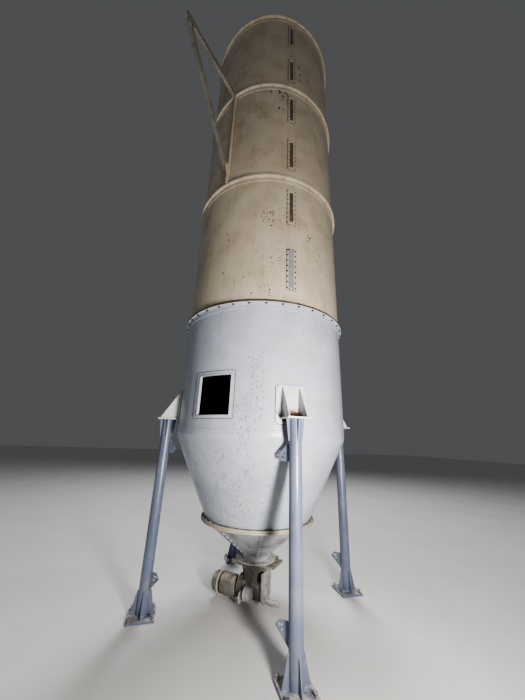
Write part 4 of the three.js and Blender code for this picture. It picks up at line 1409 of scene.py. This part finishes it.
def makeGate():
    gate = feeder["gate"]
    half, top, low = gate["depth"] / 2, gate["top"], gate["top"] - gate["thick"]
    left, body, right = gate["left"], gate["body"], gate["right"]
    railLow, railHigh = low + gate["plate"] - 1, top - gate["plate"] + 1
    railLeft, railRight, railOut = left + gate["inset"], body - gate["inset"], half - gate["inset"]
    railIn, endHalf = half - gate["rail"], half - gate["endInset"]
    bladeHalf, handleHalf = half - gate["bladeInset"], half - gate["handleInset"]
    bladeLow, bladeHigh = (low + rise for rise in gate["blade"])
    handleLow, handleHigh = (low + rise for rise in gate["handle"])
    shape = bmesh.new()
    for start, end in (
            ((left, -half, top - gate["plate"]), (body, half, top)),                        # upper plate
            ((left, -half, low), (body, half, low + gate["plate"])),                        # lower plate
            ((railLeft, -railOut, railLow), (railRight, -railIn, railHigh)),                # front rail
            ((railLeft, railIn, railLow), (railRight, railOut, railHigh)),                  # rear rail
            ((railLeft, -endHalf, railLow), (railLeft + gate["rail"], endHalf, railHigh)),  # end rail
            ((left + 20, -bladeHalf, bladeLow), (right - 8, bladeHalf, bladeHigh)),         # blade
            ((right - 9, -handleHalf, handleLow), (right, handleHalf, handleHigh))):        # its handle
        box(shape, start, end, feederTurn)
    return addPiece("slideGate", shape, ["castPaintAndShade"], ["slide_gate"], 1.5)


def makeNeck():
    # a cone that leans forward from the gate to the housing, and is cut along it
    neck, forward, radius = feeder["neck"], feeder["forward"], feeder["radius"]
    top, low, lowZ, wall = neck["topRadius"], neck["lowRadius"], neck["lowZ"], neck["wall"]
    topZ = feeder["gate"]["top"] - feeder["gate"]["thick"] - gap
    lip, lipZ, tall = top + neck["flange"], topZ - neck["flangeThick"], topZ - lowZ

    def turns(sides):
        return [2 * math.pi * k / sides for k in range(sides)]

    shape = bmesh.new()
    loops = []
    for r, z in ((lip, topZ), (lip, lipZ), (top, lipZ), (low, lowZ), (low - wall, lowZ), (top - wall, topZ)):
        lean = -forward * (topZ - z) / tall
        loops.append([shape.verts.new(feederTurn @ Vector((r * math.cos(a), r * math.sin(a) + lean, z)))
                      for a in turns(64)])
    skin(shape, loops)
    addPiece("feederNeck", cutByHousing(shape), ["castPaintAndShade"], ["feeder_neck"], 1.2)
    saddle = []
    slope = (top - low) / tall
    for a in turns(72):
        z = feeder["z"] + radius * 0.75
        for step in range(6):
            r = low + (z - lowZ) * slope
            y = r * math.sin(a) + forward * (z - lowZ) / tall
            z = feeder["z"] + math.sqrt(max(0.0, radius ** 2 - y * y))
        saddle.append(feederTurn @ Vector((r * math.cos(a), y - forward, z + 1)))
    gather("neckWeld", [weldAlong([saddle], neck["bead"], 81, "castPaintAndShade", closed=True, ripple=0.5)])


def endPlateOutline():
    plate = feeder["endPlate"]
    half, low, high, chamfer = plate["half"], plate["low"], plate["high"], plate["chamfer"]
    corners = [(-half, low + chamfer), (-half + chamfer, low), (half - chamfer, low), (half, low + chamfer),
               (half, high), (-half, high)]
    # local x of the body's axis points down, and local y backwards
    return [(feeder["z"] - z, y) for y, z in corners]


def makeHousing():
    bearing = feeder["endPlate"]["bearing"]
    r, cover, thick, left, right = (feeder[key] for key in (
        "radius", "coverRadius", "coverThick", "left", "right"))
    outside, face = left - thick, right + thick
    cap = face + feeder["endPlate"]["boss"]
    shape = bmesh.new()
    turnedBar(shape, [(0, outside), (cover - 26, outside), (cover - 2, outside), (cover, outside + 2),
                      (cover, left - 1), (cover - 1, left), (r, left), (r, left + 14), (r - 5, left + 18),
                      (r - 5, right - 18), (r, right - 14), (r, right + 1), (0, right + 1)], bodyAxis)
    for along in feeder["ribs"]:
        bar(shape, r, along - 3, along + 3, bodyAxis, 64, inner=r - 8)
    prism(shape, endPlateOutline(), thick, lifted(bodyAxis, right), part=1)
    turnedBar(shape, [(0, face - 1), (bearing, face - 1), (bearing - 2, face + 2), (bearing - 20, cap - 3),
                      (bearing - 24, cap), (0, cap)], bodyAxis, part=1)
    stub = line["stub"]
    stubAxis = feederAxis(line["forward"], stub["z"])
    bar(shape, stub["radius"] - 3, right + 4, stub["right"] - 12, stubAxis, 32, part=1)
    bar(shape, stub["radius"], stub["right"] - 34, stub["right"], stubAxis, 32, part=1)
    piece = addPiece("feederHousing", shape, ["castPaintAndShade", "conePaint"], ["feeder_housing"], 1.0)
    bolts = feeder["coverBolts"]
    gather("coverBolts", [
        boltCircle(bolts["count"], bearing + 14, face, right - 2, bolts["rightHead"],
                   bolts["firstRight"], bodyAxis),
        boltCircle(bolts["count"], cover - 7, left, outside, bolts["leftHead"], 0, bodyAxis)])
    return piece


def makeMotor():
    gear, motor = feeder["gearbox"], feeder["motor"]
    gearAxis, motorAxis = (feederAxis(unit["forward"], unit["z"]) for unit in (gear, motor))
    r, left, cheek = gear["radius"], gear["left"], gear["cheek"]
    shape = bmesh.new()
    prism(shape, [(-r, -cheek), (-cheek, -r), (cheek, -r), (r, -cheek), (r, cheek), (cheek, r), (-cheek, r),
                  (-r, cheek)], gear["right"] - left - 8, lifted(gearAxis, left + 4))
    for along in (left, left + gear["flangePitch"]):
        bar(shape, r + 3, along, along + gear["flangeWide"], gearAxis, 8)
    wide, start, end = motor["radius"], gear["right"] - 1, motor["right"]
    turnedBar(shape, [(0, start), (wide - 4, start), (wide, start + 3), (wide, start + 12),
                      (wide - 5, start + 14), (wide - 5, end - 30), (wide - 1, end - 28),
                      (wide - 1, end - 16), (wide - 6, end - 6), (wide - 20, end), (0, end)], motorAxis, 48)
    for k in range(motor["fins"]):
        fin = motorAxis @ Matrix.Rotation(2 * math.pi * k / motor["fins"], 4, "Z")
        box(shape, (wide - 7, -motor["finHalf"], start + 14), (wide - 0.5, motor["finHalf"], end - 29), fin)
    plugAxis = lifted(gearAxis, left + gear["plugAlong"]) @ Matrix.Rotation(math.pi / 2, 4, "Y")
    bar(shape, gear["plugRadius"], r - 1, r + gear["plugRise"], plugAxis, 6)
    return addPiece("driveMotor", cutByHousing(shape), ["bracketPaint"], ["drive_motor"], 0.8)


def makeDrum():
    drum = line["drum"]
    left, right, r, pipe, shaft, start = (drum[key] for key in (
        "left", "right", "radius", "pipe", "shaft", "pipeLeft"))
    shaftEnd = feeder["left"] - feeder["coverThick"] - gap
    ring, ringEnd = drum["ring"], right + drum["ringThick"]
    shape = bmesh.new()
    turnedBar(shape, [(0, start), (pipe, start), (pipe, left), (r - 8, left),
                      (r - 2, left + 3), (r, left + 8), (r, left + 34), (r - 3, left + 36),
                      (r - 3, left + 50), (r, left + 52), (r, right - 22), (r - 3, right - 20),
                      (r - 3, right - 8), (r - 8, right), (shaft + 8, right), (shaft, right + 10),
                      (shaft, shaftEnd), (0, shaftEnd)], lineAxis)
    bar(shape, ring, right - 1, ringEnd, lineAxis, 64, part=1, inner=ring - drum["ringWide"])
    piece = addPiece("inletDrum", shape, ["castPaintAndShade", "conePaint"], ["inlet_drum"], 0.8)
    bolts = boltCircle(drum["bolts"], ring - drum["boltInset"], ringEnd, right, drum["head"],
                       drum["firstBolt"], lineAxis)
    gather("drumBolts", [bolts])
    return piece


def makeSleeve():
    sleeve = line["sleeve"]
    start, end = sleeve["left"], line["drum"]["pipeLeft"] - gap
    wide, narrow, lipStart = sleeve["rightRadius"], sleeve["leftRadius"], end - sleeve["lip"]
    bore = narrow - sleeve["wall"]
    shape = bmesh.new()
    turnedBar(shape, [(0, start + 4), (bore, start + 4), (bore, start), (narrow - 2, start),
                      (narrow, start + 2), (narrow + 1, start + 8), (wide, lipStart), (wide, end - 1),
                      (0, end - 1)], lineAxis)
    bar(shape, sleeve["lipRadius"], lipStart, end, lineAxis, 64, part=1, inner=wide - 4)
    return addPiece("lineSleeve", shape, ["castPaintAndShade", "ringPaint"], ["line_sleeve"], 0.8)


# the gate, neck, housing body, drum and sleeve take the dark cast paint, which also paints in the leg's
# shadow over the feeder
feederPieces = [makeGate(), makeHousing(), makeMotor(), makeDrum(), makeSleeve()]
makeNeck()
print("stage: feeder")


roof = {"rise": 170, "wall": 5, "ribs": 12, "firstRib": 15, "ribHeight": 6, "ribThick": 4, "ribClear": 190,
        "ribEnd": 8, "blank": 14, "flangeThick": 12, "stubWall": 5, "stubHead": 6.5, "firstBolt": 20,
        "bead": 3.5,
        "manhole": {"radius": 250, "wall": 6, "rise": 120, "sink": 8, "lip": 30, "lipThick": 10,
                    "lidRadius": 285, "lidThick": 14, "lidEdge": 1.5, "bolts": 12, "boltCircle": 270,
                    "head": 5.0, "firstBolt": 10}}
stubs = {
    "ventCollar": {"node": "vent_collar", "azimuth": 140, "circle": 620, "radius": 110, "rise": 190,
                   "flange": 32, "bolts": 8},
    "fillPipe": {"node": "fill_pipe", "azimuth": -120, "circle": 580, "radius": 62, "rise": 300,
                 "flange": 28, "bolts": 4},
}
rimZ, eye = shellTopZ + gap, roof["manhole"]["radius"] + gap
peakZ = rimZ + roof["rise"]
roofSlope = roof["rise"] / (silo["radius"] - eye)


def onRoof(radius):
    return rimZ + roof["wall"] + roofSlope * (silo["radius"] - radius)


def makeRoofCone():
    wall, edge, outer = roof["wall"], silo["radius"], silo["ringRadius"]
    shape, cutter = bmesh.new(), bmesh.new()
    lathe(shape, [(edge - wall, rimZ), (outer, rimZ), (outer, rimZ + wall), (edge, rimZ + wall),
                  (eye, peakZ + wall), (eye, peakZ)])
    centres = [radial(stub["azimuth"], stub["circle"]) for stub in stubs.values()]
    for centre, stub in zip(centres, stubs.values()):
        bar(cutter, stub["radius"] - 6, rimZ - 20, peakZ + 60, Matrix.Translation(centre), 48)
    shape = cutShape(shape, cutter)
    start = Vector((eye + roof["ribEnd"], peakZ + wall - 2))
    end = Vector((edge - roof["ribEnd"], rimZ + wall - 1))
    rise = Vector((roof["rise"], edge - eye)).normalized() * roof["ribHeight"]
    outline = [tuple(p) for p in (start, end, end + rise, start + rise)]
    for k in range(roof["ribs"]):
        azimuth = roof["firstRib"] + 360.0 * k / roof["ribs"]
        middle = radial(azimuth, (start + end).x / 2)
        if all((middle - centre).length > roof["ribClear"] for centre in centres):
            prism(shape, outline, roof["ribThick"], uprightAt(azimuth, roof["ribThick"] / 2))
    addPiece("roofCone", shape, ["creamPaint"], ["roof_cone"], 1.0)


def makeManhole():
    manhole = roof["manhole"]
    r, bore, neckTop = manhole["radius"], manhole["radius"] - manhole["wall"], peakZ + manhole["rise"]
    lip, lipLow, lidLow = r + manhole["lip"], neckTop - manhole["lipThick"], neckTop + gap
    lidTop, lidRadius = lidLow + manhole["lidThick"], manhole["lidRadius"]
    shape = bmesh.new()
    foot = peakZ - manhole["sink"]
    lathe(shape, [(bore, foot), (r, foot), (r, lipLow), (lip, lipLow), (lip, neckTop), (bore, neckTop)],
          segments=96)
    addPiece("manholeNeck", shape, ["ringPaint"], ["manhole_neck"], 1.2)
    shape = bmesh.new()
    lathe(shape, flangeProfile(0, lidRadius, lidLow, lidTop, manhole["lidEdge"]), segments=96)
    addPiece("manholeLid", shape, ["creamPaint"], ["manhole_lid"])
    return boltCircle(manhole["bolts"], manhole["boltCircle"], lidTop, lipLow, manhole["head"],
                      manhole["firstBolt"])


def makeStub(name, stub):
    # a pipe through the roof, closed with a blank flange
    radius, topZ = stub["radius"], rimZ + stub["rise"]
    wide, low = radius + stub["flange"], topZ - roof["flangeThick"]
    centre = radial(stub["azimuth"], stub["circle"])
    at = Matrix.Translation(centre)
    shape = bmesh.new()
    bar(shape, radius, onRoof(stub["circle"] + radius) - 2, topZ + 1, at, 64, inner=radius - roof["stubWall"])
    bar(shape, wide, low, topZ - 0.4, at, 64, inner=radius - 1)
    bar(shape, wide, topZ, topZ + roof["blank"], at, 64)
    addPiece(name, shape, ["ringPaint"], [stub["node"]], 1.0)
    bolts = boltCircle(stub["bolts"], radius + stub["flange"] / 2 + 2, topZ + roof["blank"], low,
                       roof["stubHead"], roof["firstBolt"], at)
    loop = [centre + p for p in circlePath(radius + 2, 0, 48)]
    for p in loop:
        p.z = onRoof(p.length) + 1
    return bolts, weldAlong([loop], roof["bead"], 90 + stub["bolts"], "ringPaint", closed=True)


def makeRoof():
    makeRoofCone()
    bolts, beads = [makeManhole()], []
    for name, stub in stubs.items():
        stubBolts, bead = makeStub(name, stub)
        bolts.append(stubBolts)
        beads.append(bead)
    gather("roofBolts", bolts)
    gather("roofWelds", beads)


makeRoof()
print("stage: roof")


flourZones = [      # on the hopper's flange, heaped on the outlet's flange and round it, and on the feeder
    {"band": (598, 626, 813.7), "density": 480.0, "small": 1.6, "large": 5.5},
    {"band": (156, 212, 410, 30, 140), "density": 9000.0, "small": 3, "large": 12},
    {"band": (156, 212, 410), "density": 1300.0, "small": 2, "large": 7},
    {"steepest": 0.55, "density": 2600.0, "small": 1.5, "large": 6},
]


def annulus(inner, outer, z, low=-180.0, high=180.0, steps=60):
    shape = bmesh.new()
    turns = [low + (high - low) * k / steps for k in range(steps + 1)]
    columns = [[shape.verts.new(inFrame(radial(turn, r, z))) for r in (inner, outer)] for turn in turns]
    for a, b in zip(columns, columns[1:]):
        shape.faces.new((a[0], a[1], b[1], b[0]))
    return meshOf("annulus", shape)


def topsOf(pieces, steepest):
    # a scratch mesh of the faces that flour can lie on
    shape = bmesh.new()
    for piece in pieces:
        shape.from_mesh(piece.data)
    shape.normal_update()
    bmesh.ops.delete(shape, geom=[face for face in shape.faces if face.normal.z < steepest], context="FACES")
    return meshOf("tops", shape)


def makeFlourLumps():
    meshes = []
    for seed, zone in enumerate(flourZones):
        ground = annulus(*zone["band"]) if "band" in zone else topsOf(feederPieces, zone["steepest"])
        meshes.append(growMesh("crumbs", "flour", {"Density": zone["density"], "Seed": seed},
                               {"Small": zone["small"], "Large": zone["large"]}, ground))
    gather("flourLumps", meshes)


makeFlourLumps()
print("stage: flour")


camera = {"position": (-985, -3412.7, 1611), "turn": 15.939, "pitch": 18.386, "roll": 2.093, "lens": 14.05,
          "sensor": 36, "near": 0.05, "far": 200}


def makeCamera():
    turn, pitch, roll = (math.radians(camera[key]) for key in ("turn", "pitch", "roll"))
    forward = Vector((math.sin(turn) * math.cos(pitch), math.cos(turn) * math.cos(pitch), math.sin(pitch)))
    right = Vector((math.cos(turn), -math.sin(turn), 0))
    up = right.cross(forward)
    levelRight = right * math.cos(roll) + up * math.sin(roll)
    levelUp = up * math.cos(roll) - right * math.sin(roll)
    data = bpy.data.cameras.new("camera")
    data.lens = camera["lens"]
    data.sensor_width = camera["sensor"]
    data.clip_start = camera["near"]
    data.clip_end = camera["far"]
    thing = newObject("camera", data)
    turnedCamera = Matrix((levelRight, levelUp, -forward)).transposed().to_4x4()
    thing.matrix_world = Matrix.Translation(inFrame(camera["position"])) @ turnedCamera
    bpy.context.scene.camera = thing


lamps = {
    "key": {"at": (180, -2950, 1200), "aim": (0, -900, 2050), "size": 0.35, "power": 42,
            "colour": (1.0, 0.985, 0.96)},
    "high": {"at": (250, -3700, 1300), "aim": (0, 0, 3700), "size": 0.6, "power": 110,
             "colour": (1.0, 0.93, 0.84)},
    "side": {"at": (-6000, -2500, 3300), "aim": (0, 0, 3200), "size": 4.0, "power": 20,
             "colour": (0.92, 0.96, 1.0)},
    "back": {"at": (2300, 6000, 10500), "aim": (0, 0, 4200), "size": 4.0, "power": 700,
             "colour": (0.97, 0.98, 1.0)},
}


def makeLamps():
    for name, lamp in lamps.items():
        data = bpy.data.lights.new(name + "Lamp", "AREA")
        data.shape = "DISK"
        data.size = lamp["size"]
        data.energy = lamp["power"]
        data.color = lamp["colour"]
        thing = newObject(name + "Lamp", data)
        spot = inFrame(lamp["at"])
        aim = (inFrame(lamp["aim"]) - spot).to_track_quat("-Z", "Y").to_matrix().to_4x4()
        thing.matrix_world = Matrix.Translation(spot) @ aim
        thing.visible_camera = False


studio = {"floorHalf": 40, "world": (0.80, 0.82, 0.85, 1), "worldStrength": 0.125}


def makeFloor():
    material, tree, principled = newMaterial("paleFloor")
    tone = cloud(tree, objectPlace(tree), 1.1, 6.0, 0.6)
    base = blend(tree, ramp(tree, tone, 0.3, 0.7), (0.78, 0.77, 0.75), (0.83, 0.82, 0.80))
    feed(tree, principled, {"Base Color": base, "Roughness": 0.85})
    half = studio["floorHalf"]
    mesh = bpy.data.meshes.new("floor")
    mesh.from_pydata([(x, y, 0) for x, y in rectangle(-half, -half, half, half)], [], [(0, 1, 2, 3)])
    mesh.materials.append(material)
    thing = newObject("floor", mesh)


def makeWorld():
    world = bpy.data.worlds.new("studio")
    world.use_nodes = True
    background = world.node_tree.nodes["Background"]
    background.inputs["Color"].default_value = studio["world"]
    background.inputs["Strength"].default_value = studio["worldStrength"]
    bpy.context.scene.world = world
    bpy.context.scene.view_settings.view_transform = "AgX"
    bpy.context.scene.view_settings.look = "AgX - High Contrast"


makeCamera()
makeLamps()
makeFloor()
makeWorld()
print("stage: camera and light")
